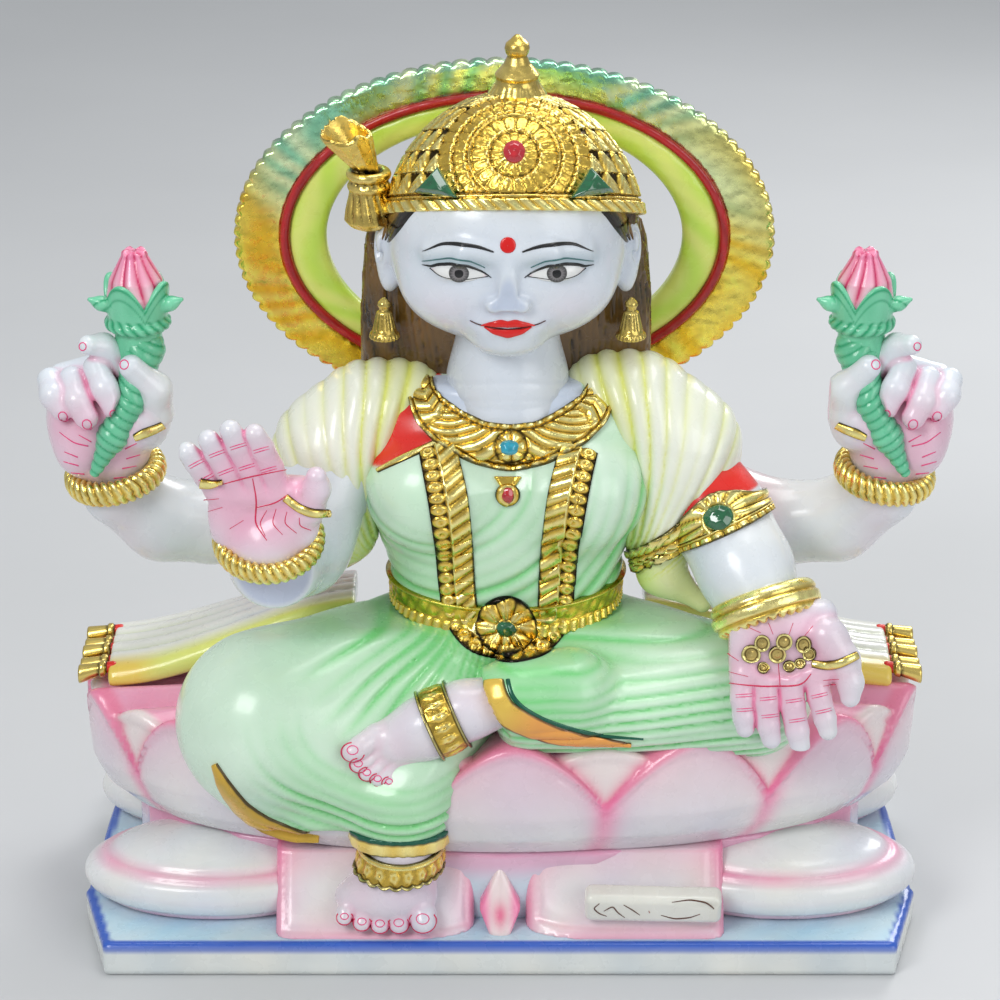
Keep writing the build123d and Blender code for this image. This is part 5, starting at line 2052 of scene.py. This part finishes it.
def cut_stone(base, centre, radius, stand, heading=VIEW, squash=(1, 1), colour=GREEN, facets=8, tri=False):
    """A cut stone: a flat table and slanting facets, round or with tri a triangle standing on its edge."""

    def relief(turn, r):
        facet = 1 if tri else np.cos(((turn * facets / (2 * np.pi)) % 1 - 0.5) * 2 * np.pi / facets)
        return stand + radius * 0.42 * np.clip((1 - r * facet) / 0.5, 0, 1)

    def outline(turn):
        if not tri:
            return 1
        third = 2 * np.pi / 3
        local = (turn + np.pi / 2 + third / 2) % third - third / 2
        return 0.5 / np.cos(local)

    turn, r = round_grid(72, PIN_HOLE, 1, 12)
    size = radius * r * outline(turn)
    rows = facing_rows(centre, heading, size * squash[0] * np.cos(turn), size * squash[1] * np.sin(turn))
    height = relief(turn, r)
    return laid_sheet(base, rows, height, plain(colour)(turn, r, height), heading, sink=1.0, closed=True)


red_glass = gem_glass("red glass", srgb(0.72, 0.02, 0.10))
green_glass = gem_glass("green glass", srgb(0.0, 0.36, 0.20))
blue_glass = gem_glass("blue glass", srgb(0.10, 0.62, 0.72))

joined(
    "red_gems",
    [
        cut_stone(bosom, drop + (0, 0, 3.5), 4.0, 4.0, colour=RED),
        cut_stone(crown_body, JEWEL.ravel(), 7.0, 3.4, squash=(0.95, 1.0), colour=RED),
    ],
    red_glass, ["red_stones"], 0.0,
)
armlet = at("left_armlet")


def upper_arm(p):
    return smin(limb(p, FRONT_LEFT, 16), drape_shape(LEFT)(p), 3)


def crown_stone(side, size, stand):
    """A three-sided stone low on the crown's front, flat edge down."""
    place = (crown[0] + side * 50, -62, crown_foot(column((0, -50, 0)))[0] + 20)
    inward = np.array((-side * 0.26, 0.92, -0.30))
    return cut_stone(
        crown_body, place, size, stand, inward / np.linalg.norm(inward), squash=(1.2, 0.8), facets=3, tri=True
    )


joined(
    "green_gems",
    [
        crown_stone(RIGHT, 14, 6.4),
        crown_stone(LEFT, 14, 6.4),
        cut_stone(lap, medallion + (0, 0, -5), 4.8, 6.6, squash=(1.25, 0.9)),
        cut_stone(upper_arm, armlet + (-4.6, -27, 11.5), 8.5, 3.2, (0.133, 0.953, -0.268), (1.1, 0.95)),
    ],
    green_glass, ["green_stones"], 0.0,
)
joined(
    "blue_gem", [cut_stone(bosom, collar + (1.0, -24, 5), 4.6, 3.2, squash=(1.25, 0.9), colour=BLUE)],
    blue_glass, ["blue_stone"], 0.0
)

# ------------------------------------------------------------------ cuffs and the armlet


def cuff(base, centre, axis, reach, half, relief, paint, lines=23, sink=2.0):
    """A band dropped on a limb from all round. turn is 0 at the front, t runs from -1 to 1 along the axis and
    half(turn) gives the band's reach (below, above) the centre."""
    x, y, z = axes_about(axis, (0, -1, 0))
    turn, t = round_grid(320, -1, 1, lines)
    below, above = half(turn)
    along = np.where(t < 0, t * below, t * above)
    radial = x[:, None, None] * np.cos(turn) + y[:, None, None] * np.sin(turn)
    rows = np.array(centre)[:, None, None] + radial * reach + z[:, None, None] * along
    height = relief(turn, t)
    return laid_sheet(base, rows, height, paint(turn, t, height), -radial, back=0.0, sink=sink, closed=True)


def from_front(turn):
    """The angle from the front, -pi to pi."""
    return (turn + np.pi) % (2 * np.pi) - np.pi


def armlet_half(turn):
    peak = hump(from_front(turn), 0, 0.75)
    return 7.0 + 15.0 * peak, 6.5 + 0 * turn


def armlet_relief(turn, t):
    local = from_front(turn)
    far = np.sqrt((local * 33) ** 2 + (np.clip(-t, 0, 1) * 19 - 5) ** 2)
    ray = np.arctan2(np.clip(-t, -1, 1) * 19 - 5, local * 33)
    rays = np.abs(np.sin(ray * 7)) ** 0.6 * smooth(8, 10, far) * (t < 0.1)
    ring = hump(far, 8.5, 1.2) * (t < 0.2)
    scallop = np.abs(np.sin(turn * 15)) ** 0.6 * smooth(0.45, 0.55, t)
    rim = hump(t, -0.93, 0.06)
    roll = hump(t, 0.32, 0.12)
    return 1.2 + 1.9 * highest(rays, ring, scallop, rim, roll)


gilt(
    "left_armlet_band", ["left_armlet"],
    cuff(
        upper_arm, armlet + (2, 2, -2), (0.42, -0.30, -0.85), 52, armlet_half, armlet_relief,
        gold_band_paint(1.2, 1.9, 0.07), lines=31
    )
)

# ------------------------------------------------------------------ feet and anklets

right_foot, left_foot = at("right_foot"), at("left_foot")
RIGHT_TOES = [(-29, -25, 5.4), (-17.5, -29, 6.0), (-5.5, -30.5, 6.4), (7, -30, 6.9), (23, -27.5, 9.0)]
LEFT_TOES = [(-46, -7, 7.6), (-42.5, -16.5, 5.8), (-37, -23, 5.5), (-30, -27.5, 5.2), (-22.5, -29.5, 4.8)]


def right_foot_shape(p):
    o = right_foot
    ankle = limb(p, off(o, (10, 14, 34, 25), (8, 8, 10, 24), (2, 2, -8, 20)), 12)
    instep = ellipsoid(p, o + (-2, 0, -16), (34, 19, 17))
    d = smin(ankle, instep, 14)
    toes = [
        limb(p, off(o, (x * 0.86, -2, z + 12, r), (x, -12, z + 3, r), (x * 1.02, -15.5, z, r - 0.5)), 1.5)
        for x, z, r in RIGHT_TOES
    ]
    return smax(smin(d, blend_all(toes, 1.0), 3.5), o[2] - 36 - p[2], 2)


def left_foot_shape(p):
    o = left_foot
    d = limb(p, off(o, (78, 12, 26, 17), (26, 6, 13, 18), (2, 2, 3, 19), (-18, 1, -6, 17)), 12)
    toes = [
        limb(p, off(o, (x + 15, -3, z * 0.7 + 4, r + 1), (x + 5, -10, z + 2, r), (x, -13, z, r - 0.5)), 1.5)
        for x, z, r in LEFT_TOES
    ]
    return smin(d, blend_all(toes, 1.0), 4)


def foot_paint(p, crease_shade):
    tone = mixed(SKIN, WHITE, 0.45 + 0.2 * ripple(p, 30.0))
    tone = mixed(tone, BLUSH, 0.25 + 0.15 * ripple(p, 20.0))
    # The pink in the creases and hollows is painted shade.
    return mixed(tone, PINK, np.clip(crease_shade * 0.75, 0, 0.7))


carve("right_foot_carving", right_foot_shape, "right_foot", (4, 5, 4), (12, 32, 24), 1.15, foot_paint)
carve("left_foot_carving", left_foot_shape, "left_foot", (24, 5, 12), (36, 30, 18), 1.15, foot_paint)


def toe_lines(origin, toes, outward_run):
    """A line round the end of each toe and a ring for its nail."""
    lines = []
    ux, uz = outward_run
    for x, z, r in toes:
        end = [
            (x + r * 1.02 * (math.sin(t) * ux - math.cos(t) * uz), -14,
             z + r * 0.95 * (math.cos(t) * ux + math.sin(t) * uz), 1.0)
            for t in np.linspace(-0.2 * np.pi, 1.2 * np.pi, 12)
        ]
        lines.append((off(origin, *end), LINE_RED))
        nail = [
            (x + 0.48 * r * math.cos(t), -14, z + 0.25 * r + 0.42 * r * math.sin(t), 0.8)
            for t in np.linspace(0, 2 * np.pi, 12)
        ]
        lines.append((off(origin, *nail), HOT_PINK))
    return lines


strokes("right_toe_lines", right_foot_shape, toe_lines(right_foot, RIGHT_TOES, (0.0, -1.0)))
strokes("left_toe_lines", left_foot_shape, toe_lines(left_foot, LEFT_TOES, (-0.75, -0.66)))


def flowered(turn, t, count):
    """Small flowers in a row between plain rims."""
    cell = (turn * count / np.pi) % 1.0 * 2 - 1
    far = np.sqrt(cell ** 2 + (t / 0.8) ** 2)
    ray = np.arctan2(t / 0.8, cell)
    petals = np.sqrt(np.clip(1 - (far / (0.75 + 0.2 * np.abs(np.cos(2.5 * ray)))) ** 2, 0, 1))
    petals = petals * (1 - 0.5 * hump(far, 0, 0.2))
    rim = smooth(0.8, 0.9, np.abs(t))
    return highest(petals * (np.abs(t) < 0.85), rim, 0.34 * smooth(0.80, 0.74, np.abs(t)))


gilt(
    "left_anklet_band", ["left_anklet"],
    cuff(
        left_foot_shape, left_foot + (13, 2, 8), (1.0, 0.12, 0.42), 46,
        lambda turn: (10.5 + 0 * turn, 10.5 + 0 * turn), lambda turn, t: 1.2 + 1.9 * flowered(turn, t, 8),
        gold_band_paint(1.2, 1.9, 0.08)
    )
)


def scalloped_half(low_side, high_side, count, size):
    def half(turn):
        return low_side - size * (1 - np.abs(np.sin(turn * count)) ** 0.7), high_side + 0 * turn

    return half


gilt(
    "right_anklet_band", ["right_anklet"],
    cuff(
        right_foot_shape, right_foot + (9, 9, 13), (0, -0.16, 1.0), 50, scalloped_half(9.5, 8.5, 13, 2.4),
        lambda turn, t: 1.4 + 2.2 * np.maximum(flowered(turn, t, 10), hump(t, 0.7, 0.2)),
        gold_band_paint(1.4, 2.2, 0.08)
    )
)

# ------------------------------------------------------------------ hems

hem_mid = at("right_hem")


def hem_base(p):
    levels = [
        (hem_mid[2] - 14, hem_mid[0] + 13, hem_mid[1] + 12, 31, 24),
        (hem_mid[2] + 8, hem_mid[0] + 13, hem_mid[1] + 13, 34, 26)
    ]
    return drum(p, levels, 2.2)


def hem_paint(turn, t, height):
    gold_tone = mixed(GOLD, GOLD_PALE, 0.5 + 0.3 * np.sin(turn * 9))
    green = smooth(0.46, 0.54, t)
    dark = hump(t, 0.42, 0.06) + hump(t, -0.94, 0.06)
    return mixed(mixed(gold_tone, DARK_GREEN, green), BLACK, np.clip(dark, 0, 0.9))


joined(
    "right_hem_band",
    [
        cuff(
            hem_base, hem_mid + (14, 13, -2), (0, 0, 1), 60, lambda turn: (6.5 + 0 * turn, 6.0 + 0 * turn),
            lambda turn, t: 0.8 + 1.2 * half_round((t + 0.25) / 0.72) + 0.9 * smooth(0.46, 0.6, t)
            + 0.25 * np.sin(turn * 24), hem_paint, sink=6
        )
    ],
    marble, ["right_hem"], 0.25,
)


def skirt_and_seat(p):
    return smin(skirt_shape(p), throne_shape(p), 2)


left_hem, right_drape = at("left_hem"), at("right_leg_drape")
LEFT_HEM = off(
    left_hem, (0, -8, 32, 6.5), (1, -8, 22, 7.5), (6, -8, 10, 8.5), (20, -8, 1, 8), (38, -8, -7, 6.5),
    (60, -8, -12, 4.2), (90, -8, -15, 1.0)
)
GREEN_EDGE = off(
    left_hem, (9, -8, 33, 3.2), (11, -8, 22, 3.4), (18, -8, 13, 3.6), (32, -8, 4, 3.6), (50, -8, -3, 3.2),
    (72, -8, -9, 3.0), (98, -8, -11, 1.0)
)
UNDER_BAND = off(
    right_drape, (-70, -24, -14, 2), (-64, -26, -30, 5.5), (-54, -30, -46, 6.5), (-40, -32, -57, 6.5),
    (-22, -34, -64, 5.5), (-4, -36, -66, 2.5)
)


def hem_gold(s, t, height):
    tone = mixed(GOLD, srgb(0.96, 0.66, 0.32), smooth(20, 50, s))
    return mixed(tone, BLACK, 0.9 * edge_line(t, 0.13))


def soft_roll(s, t):
    return 0.8 + 1.6 * half_round(t) + 0.12 * np.sin(s / 1.7)


hem_blocks = [
    laid_band(skirt_and_seat, LEFT_HEM, soft_roll, hem_gold, spacing=0.8, lines=19, sink=2),
    laid_band(
        skirt_and_seat, [(*g[:3], g[3] / 2) for g in GREEN_EDGE], lambda s, t: 0.9 * (1 - 1.4 * t ** 4),
        plain(DARK_GREEN), lines=9
    )
]
joined("left_hem_band", hem_blocks, marble, ["left_hem"], 0.25)
joined(
    "under_hem_band",
    [
        laid_band(
            skirt_shape, UNDER_BAND, soft_roll,
            lambda s, t, h: mixed(
                mixed(GOLD, srgb(0.80, 0.62, 0.12), 0.6 + 0 * s), BLACK, 0.9 * smooth(0.74, 0.86, t)
            ),
            lines=19, sink=3
        )
    ],
    marble, [], 0.4
)

# ------------------------------------------------------------------ painted block, coins and thumb rings

block = at("painted_block")


def block_shape(p):
    q = turned(p, block + (0, -4.5, 0.5), (1, -0.03, 0), (0, -0.22, 1.0))
    return slab(q, (45.5, 8.5, 11.0), 5.0) + 0.35 * ripple(p, 20.0)


def block_paint(p, crease_shade):
    # The grey in the hollows is painted shade.
    return mixed(
        mixed(WHITE, srgb(0.86, 0.85, 0.80), 0.4 + 0.3 * ripple(p, 16.0)), srgb(0.62, 0.60, 0.55),
        crease_shade * 0.5
    )


carve("front_block", block_shape, "painted_block", (5, 6, 5), (5, 6, 5), 1.2, block_paint)
BROWN = srgb(0.36, 0.22, 0.16)


def ends(points):
    """Whether each point is an end point."""
    return [number in (0, len(points) - 1) for number in range(len(points))]


def curve(points, colour, width):
    stations = [(x, -12, z, width * (0.45 if end else 1)) for (x, z), end in zip(points, ends(points))]
    return off(block, *stations), colour


BLOCK_CURVES = [
    [(-36, 5), (-40, 1), (-36, -3), (-31, -5)], [(-33, -1), (-27, 3), (-24, -2), (-19, -6)],
    [(-20, 4), (-14, 0), (-9, -4)], [(5, -4), (14, -7), (24, -6), (31, -3)],
    [(12, 6), (24, 8), (35, 6), (40, 1)]
]
block_lines = [curve(points, BROWN, 1.2) for points in BLOCK_CURVES]
block_lines.append(curve([(-3, -1.6), (-2.6, -1.4)], srgb(0.62, 0.25, 0.18), 5.0))
strokes("block_strokes", block_shape, block_lines)

coins = [
    (-23, 26, 5.2), (-9, 27, 5.2), (4, 25, 5.4), (-30, 18, 6.2), (-13, 18, 5.6), (8, 18, 4.6),
    (2, 11, 3.8), (-22, 8, 4.0), (-5, 9, 4.2)
]


def coin_relief(turn, r):
    return 1.1 + 1.1 * smooth(0.72, 0.82, r) + 0.6 * np.clip(1 - (r / 0.45) ** 2, 0, 1)


def coin_paint(turn, r, height):
    # Pale gold on the raised rim and boss is a painted highlight and dark in the groove inside the rim is
    # painted shade; the coin also darkens at its edge.
    tone = mixed(srgb(0.80, 0.70, 0.42), GOLD_PALE, smooth(1.5, 2.1, height))
    return mixed(tone, GOLD_DARK, np.clip(hump(r, 0.66, 0.08) + smooth(0.9, 1.0, r), 0, 0.9))


gilt(
    "palm_coin_heap", ["palm_coins"],
    *[
        laid_disc(lowered_shape, lowered + (x, -20, z), r, coin_relief, coin_paint, around=48, rings=12)
        for x, z, r in coins
    ]
)


def ring_band(base, stations):
    """A plain gold finger ring, as far as it shows."""
    return laid_band(
        base, stations, lambda s, t: 0.9 + 1.5 * half_round(t), gold_band_paint(0.9, 1.5, 0.16), spacing=0.6,
        lines=13, sink=1.5,
    )


gilt(
    "hand_rings", [],
    ring_band(
        raised_shape,
        off(raised, (10, -14, -4, 2.6), (18, -14, -11, 2.8), (27, -14, -15, 2.8), (37, -14, -15, 2.4))
    ),
    ring_band(raised_shape, off(raised, (-43, -14, 6, 3.0), (-36, -14, 5, 2.6), (-29, -14, 7, 1.2))),
    ring_band(
        lowered_shape,
        off(lowered, (10, -20, 11, 2.6), (18, -20, 9.5, 3.0), (26, -20, 11, 3.0), (38, -20, 17, 2.6))
    )
)

# ------------------------------------------------------------------ lines painted on the palms


def palm_lines(origin, depth, table):
    """Strokes of one width each, (width, (x, z), (x, z) ...), thinner at both ends."""
    lines = []
    for width, *points in table:
        stations = [(x, depth, z, width * (0.5 if end else 1)) for (x, z), end in zip(points, ends(points))]
        lines.append((off(origin, *stations), LINE_RED))
    return lines


def joint_lines(origin, depth, fingers, shares, half):
    """Two short strokes over each joint of each finger."""
    lines = []
    for finger in fingers:
        start, tip = np.array(finger[0][:3]), np.array(finger[-1][:3])
        run = (tip - start)[[0, 2]]
        run = run / np.linalg.norm(run)
        for share in shares:
            for shift in (-0.9, 0.9):
                mid = start[[0, 2]] + (tip - start)[[0, 2]] * share + run * shift
                over = half * np.array([-run[1], run[0]])
                stations = ((mid + over, 0.35), (mid, 0.8), (mid - over, 0.35))
                lines.append((off(origin, *[(x, depth, z, w) for (x, z), w in stations]), HOT_PINK))
    return lines


RAISED_LINES = [
    (1.2, (-29, 5), (-12, 10), (11, 15)), (1.3, (-10, 9), (-8, -6), (-10, -22), (-2, -34)),
    (1.1, (-8, -11), (4, -8), (12, -2)), (0.9, (-2, -13), (-7, -22), (-3, -31)),
    (0.9, (4, -12), (1, -22), (8, -30)), (0.9, (11, -14), (9, -22), (17, -29)),
    (0.9, (19, -18), (19, -24), (26, -27)), (0.8, (-42, -6), (-32, -5)),
    (0.8, (-40, -14), (-30, -11)), (0.8, (-26, -26), (-17, -20)),
]
LOWERED_LINES = [
    (1.3, (-44, -3), (-26, -5), (-8, -5), (4, -4), (9, 4)), (1.2, (-12, 12), (-11, -5)),
    (0.9, (-34, 38), (-24, 33)), (0.9, (-19, 40), (-16, 32)), (0.9, (-3, 40), (-6, 31)),
    (0.9, (10, 38), (4, 30)), (0.9, (-45, 18), (-38, 13)), (0.9, (-44, 5), (-32, 2)),
    (0.8, (17, -1), (27, 0)), (0.8, (17, -5), (25, -4))
]
for name, shape, origin, depth, table, fingers, shares, half in (
    ("raised_palm_lines", raised_shape, raised, -14, RAISED_LINES, RAISED_FINGERS, (0.36, 0.68), 5.2),
    ("lowered_palm_lines", lowered_shape, lowered, -20, LOWERED_LINES, LOWERED_FINGERS, (0.30, 0.62), 5.4),
):
    lines = palm_lines(origin, depth, table) + joint_lines(origin, depth, fingers, shares, half)
    strokes(name, shape, lines)

# ------------------------------------------------------------------ lines and rings on the raised rear hands


def nail_ring(tip, size):
    turns = np.linspace(0, 2 * np.pi, 11)
    return [(tip[0] + size * math.cos(a), tip[1], tip[2] + size * 1.15 * math.sin(a), 0.9) for a in turns]


NAILS = [
    ((11, -34, 24), 3.0), ((-7, -36, 18), 3.0), ((-23, -32, 22), 2.9), ((18, -28, 57), 3.0),
    ((-9, -24, 68), 2.5)
]
FIST_RAYS = [
    [(-24, -2), (-15, -6)], [(-25, -9), (-15, -12)], [(-21, -17), (-12, -18)], [(24, 4), (16, 0)],
    [(25, -4), (16, -7)], [(22, -12), (13, -14)], [(15, -20), (7, -21)], [(-27, 12), (-17, 4), (-8, 2)],
    [(-14, 10), (-6, 5)]
]
RING_STATIONS = [(23, -36, 9, 2.2), (29, -36, 12, 3.0), (36, -36, 15, 2.8), (41, -36, 18, 2.2)]
fist_rings = []
for side, word in SIDES:
    fist = at(f"rear_{word}_hand")
    own = fist_shape(fist * (-side, 1, 1))
    shape = flipped(own) if side == LEFT else own
    lines = [
        (off(fist, *[(-side * x, y, z, w) for x, y, z, w in nail_ring(tip, size)]), HOT_PINK)
        for tip, size in NAILS
    ]
    lines += [
        (off(fist, *[(-side * x, -34, z, 0.6 + 0.5 * (n > 0)) for n, (x, z) in enumerate(ray)]), HOT_PINK)
        for ray in FIST_RAYS
    ]
    strokes(f"rear_{word}_hand_lines", shape, lines)
    fist_rings.append(ring_band(shape, off(fist, *[(-side * x, y, z, w) for x, y, z, w in RING_STATIONS])))
gilt("rear_hand_rings", [], *fist_rings)

# ------------------------------------------------------------------ painted face


FACE_FRONT = -55  # from the middle of the head to where eyes and lines are dropped from


def on_face(*points):
    """Stations (x, z, width) on the face, from the middle of the head."""
    return off(head, *[(x, FACE_FRONT, z, w) for x, z, w in points])


def both_sides(points):
    return [on_face(*points), on_face(*[(-x, z, w) for x, z, w in points])]


FRONT = (0, 1, 0)
EYE_HALF, EYE_OPEN = 17.5, 7.0


def eye_white(side):
    """The almond between the lids."""
    u, v = np.meshgrid(np.linspace(-1, 1, 61), np.linspace(-1, 1, 15), indexing="ij")
    rise = (1 - np.abs(u) ** 2.1) * EYE_OPEN
    x = side * (EYE_OUT + u * EYE_HALF)
    z = EYE_UP + 1.12 * u + v * rise * np.where(v > 0, 1, 0.75)
    rows = np.stack([head[0] + x, np.full_like(x, head[1] + FACE_FRONT), head[2] + z])
    lift = 0.35 + 0.25 * (1 - v ** 2) * (1 - u ** 2)
    red = hump(1 - np.abs(u), 0, 0.10) * 0.4
    tint = mixed(srgb(0.93, 0.93, 0.92), BLUSH, red)
    # The grey over the upper part of the white, under the lid, is painted shade.
    return laid_sheet(
        head_shape, rows, lift, mixed(tint, srgb(0.70, 0.74, 0.78), 0.35 * smooth(0.3, 1.0, v)), FRONT
    )


def iris(side, radius, lift, colour_in, colour_out, clip_top=True):
    turn, r = round_grid(48, PIN_HOLE, 1, 12)
    x, z = radius * r * np.cos(turn), radius * r * np.sin(turn)
    if clip_top:
        z = np.minimum(z, EYE_OPEN - 1.3)
    rows = np.stack(
        [head[0] + side * EYE_OUT + x, np.full_like(x, head[1] + FACE_FRONT), head[2] + EYE_UP + 0.7 + z]
    )
    weave = 0.5 + 0.5 * np.sin(turn * 17) * smooth(0.3, 0.6, r) * smooth(1.0, 0.85, r)
    tint = mixed(mixed(colour_in, colour_out, smooth(0.45, 0.95, r)), WHITE, 0.12 * weave * (radius > 3))
    return laid_sheet(head_shape, rows, np.full_like(x, lift), tint, FRONT, closed=True)


IRIS, IRIS_RIM = srgb(0.47, 0.45, 0.46), srgb(0.12, 0.11, 0.13)
joined("eye_whites", [eye_white(side) for side in (RIGHT, LEFT)], marble, [], 0.0)
joined(
    "irises",
    [iris(side, 6.2, 0.75, IRIS, IRIS_RIM) for side in (RIGHT, LEFT)]
    + [iris(side, 2.7, 0.95, BLACK, BLACK, False) for side in (RIGHT, LEFT)],
    marble, [], 0.0,
)

inner, outer_end = EYE_OUT - EYE_HALF, EYE_OUT + EYE_HALF
UPPER_LID = [
    (inner - 3, EYE_UP - 2.2, 0.6), (inner + 2, EYE_UP + 1.0, 1.5), (EYE_OUT - 5, EYE_UP + 6.0, 2.5),
    (EYE_OUT + 3, EYE_UP + 7.1, 2.9), (outer_end - 4, EYE_UP + 4.8, 2.5),
    (outer_end + 1, EYE_UP + 1.9, 1.8), (outer_end + 6, EYE_UP + 1.6, 0.5)
]
LOWER_LID = [
    (inner - 1, EYE_UP - 1.6, 0.6), (inner + 5, EYE_UP - 3.0, 0.8), (EYE_OUT, EYE_UP - 3.9, 1.0),
    (outer_end - 5, EYE_UP - 2.2, 0.9), (outer_end + 1, EYE_UP + 1.0, 0.5)
]
LID_FOLD = [
    (inner + 1, EYE_UP + 4.5, 0.5), (EYE_OUT - 6, EYE_UP + 10.0, 1.2), (EYE_OUT + 4, EYE_UP + 11.2, 1.3),
    (outer_end - 1, EYE_UP + 7.0, 0.9), (outer_end + 6, EYE_UP + 4.0, 0.4)
]
BROW = [
    (9, EYE_UP + 16.0, 1.2), (17, EYE_UP + 18.6, 2.4), (29, EYE_UP + 20.4, 2.6), (42, EYE_UP + 18.4, 2.0),
    (54, EYE_UP + 11.5, 0.5)
]
face_lines = [(line, BLACK) for points in (UPPER_LID, LOWER_LID) for line in both_sides(points)]
face_lines += [(line, srgb(0.22, 0.42, 0.42)) for line in both_sides(LID_FOLD)]
face_lines += [(line, srgb(0.09, 0.09, 0.10)) for line in both_sides(BROW)]
strokes("lids_and_brows", head_shape, face_lines, heading=FRONT, lift=0.7)

bindi = laid_disc(
    head_shape, head + (0, FACE_FRONT, EYE_UP + 20), 5.0, lambda turn, r: 0.3 + 1.0 * half_round(r),
    plain(srgb(0.86, 0.06, 0.04)), heading=FRONT, around=48, rings=12
)
LIP_RED = srgb(0.86, 0.08, 0.05)
UPPER_LIP = [
    (-17, LIP_UP + 0.8, 0.3), (-11, LIP_UP + 2.2, 1.5), (-5, LIP_UP + 3.4, 2.5), (0, LIP_UP + 2.6, 2.0),
    (5, LIP_UP + 3.4, 2.5), (11, LIP_UP + 2.2, 1.5), (17, LIP_UP + 0.8, 0.3)
]
LOWER_LIP = [
    (-15, LIP_UP, 0.3), (-9, LIP_UP - 2.4, 1.9), (0, LIP_UP - 3.8, 3.0), (9, LIP_UP - 2.4, 1.9),
    (15, LIP_UP, 0.3)
]


def lip(points):
    return laid_band(
        head_shape, on_face(*points), lambda s, t: 0.5 + 0.7 * half_round(t), plain(LIP_RED), FRONT, 0.5, 13,
        rounds=10
    )


joined("lips_and_bindi", [bindi, lip(UPPER_LIP), lip(LOWER_LIP)], marble, [], 0.0)
corner = [(16, LIP_UP + 0.7, 1.1), (20, LIP_UP + 1.5, 0.8), (24, LIP_UP + 3.0, 0.3)]
parting = [
    (-15, LIP_UP + 0.6, 0.4), (-6, LIP_UP, 0.8), (0, LIP_UP - 0.8, 0.8), (6, LIP_UP, 0.8),
    (15, LIP_UP + 0.6, 0.4)
]
strokes(
    "mouth_lines", head_shape,
    [(line, srgb(0.25, 0.03, 0.04)) for line in (*both_sides(corner), on_face(*parting))],
    heading=FRONT, lift=0.9
)

TEMPLE = [(48, 44, 2.5), (58, 36, 4.6), (67, 25, 5.6), (73, 14, 4.6), (77, 5, 2.4), (79, -1, 0.8)]
strokes(
    "temple_hair", head_shape,
    [
        (off(head, *[(side * (x + shift), -40, z, w) for x, z, w in TEMPLE]), colour)
        for side in (RIGHT, LEFT) for shift, colour in ((0, HAIR_DARK), (2.2, HAIR), (-2.0, HAIR_DARK))
    ],
    heading=FRONT, lift=1.0,
)

# ------------------------------------------------------------------ camera, floor and lights

aim_height = 0.472 * cad_high[2]
camera_data = bpy.data.cameras.new("camera")
camera_data.lens = 134.1
camera_data.sensor_width = 36
camera_data.dof.use_dof = False
camera = bpy.data.objects.new("camera", camera_data)
bpy.context.scene.collection.objects.link(camera)
elevation, away = math.radians(23.5), 2.5
camera.location = (0, -away * math.cos(elevation), aim_height + away * math.sin(elevation))
camera.rotation_euler = (math.radians(90) - elevation, 0, 0)
bpy.context.scene.camera = camera


def floor_piece():
    bpy.ops.mesh.primitive_plane_add(size=9, location=(0, 0, 0))
    floor = bpy.context.object
    floor.name = "floor"
    material, tree, shader = new_material("floor")
    shade = spread(tree, noise(tree, 3.0), 0.96, 1.0)
    rgb = node(tree, "ShaderNodeRGB")
    rgb.outputs[0].default_value = (0.62, 0.63, 0.64, 1)
    tree.links.new(shaded(tree, rgb.outputs[0], shade), shader.inputs["Base Color"])
    shader.inputs["Roughness"].default_value = 0.6
    floor.data.materials.append(material)


def area_light(name, place, target, size, power):
    data = bpy.data.lights.new(name, "AREA")
    data.size = size
    data.energy = power
    light = bpy.data.objects.new(name, data)
    bpy.context.scene.collection.objects.link(light)
    light.location = place
    heading = np.array(target, float) - np.array(place, float)
    light.rotation_euler = Vector(heading).to_track_quat("-Z", "Y").to_euler()


floor_piece()
area_light("key", (-1.2, -1.7, 1.9), (0, 0, 0.3), 1.0, 27)
area_light("fill", (1.6, -1.5, 1.1), (0, 0, 0.3), 1.4, 12)
area_light("top", (0.2, 0.3, 2.2), (0, 0, 0.3), 1.2, 16)
area_light("rim", (1.0, 1.6, 1.3), (0, 0, 0.4), 0.8, 14)
world = bpy.data.worlds.new("studio")
world.use_nodes = True
world.node_tree.nodes["Background"].inputs["Color"].default_value = (0.80, 0.83, 0.86, 1)
world.node_tree.nodes["Background"].inputs["Strength"].default_value = 0.52
bpy.context.scene.view_settings.view_transform = "Standard"
bpy.context.scene.world = world
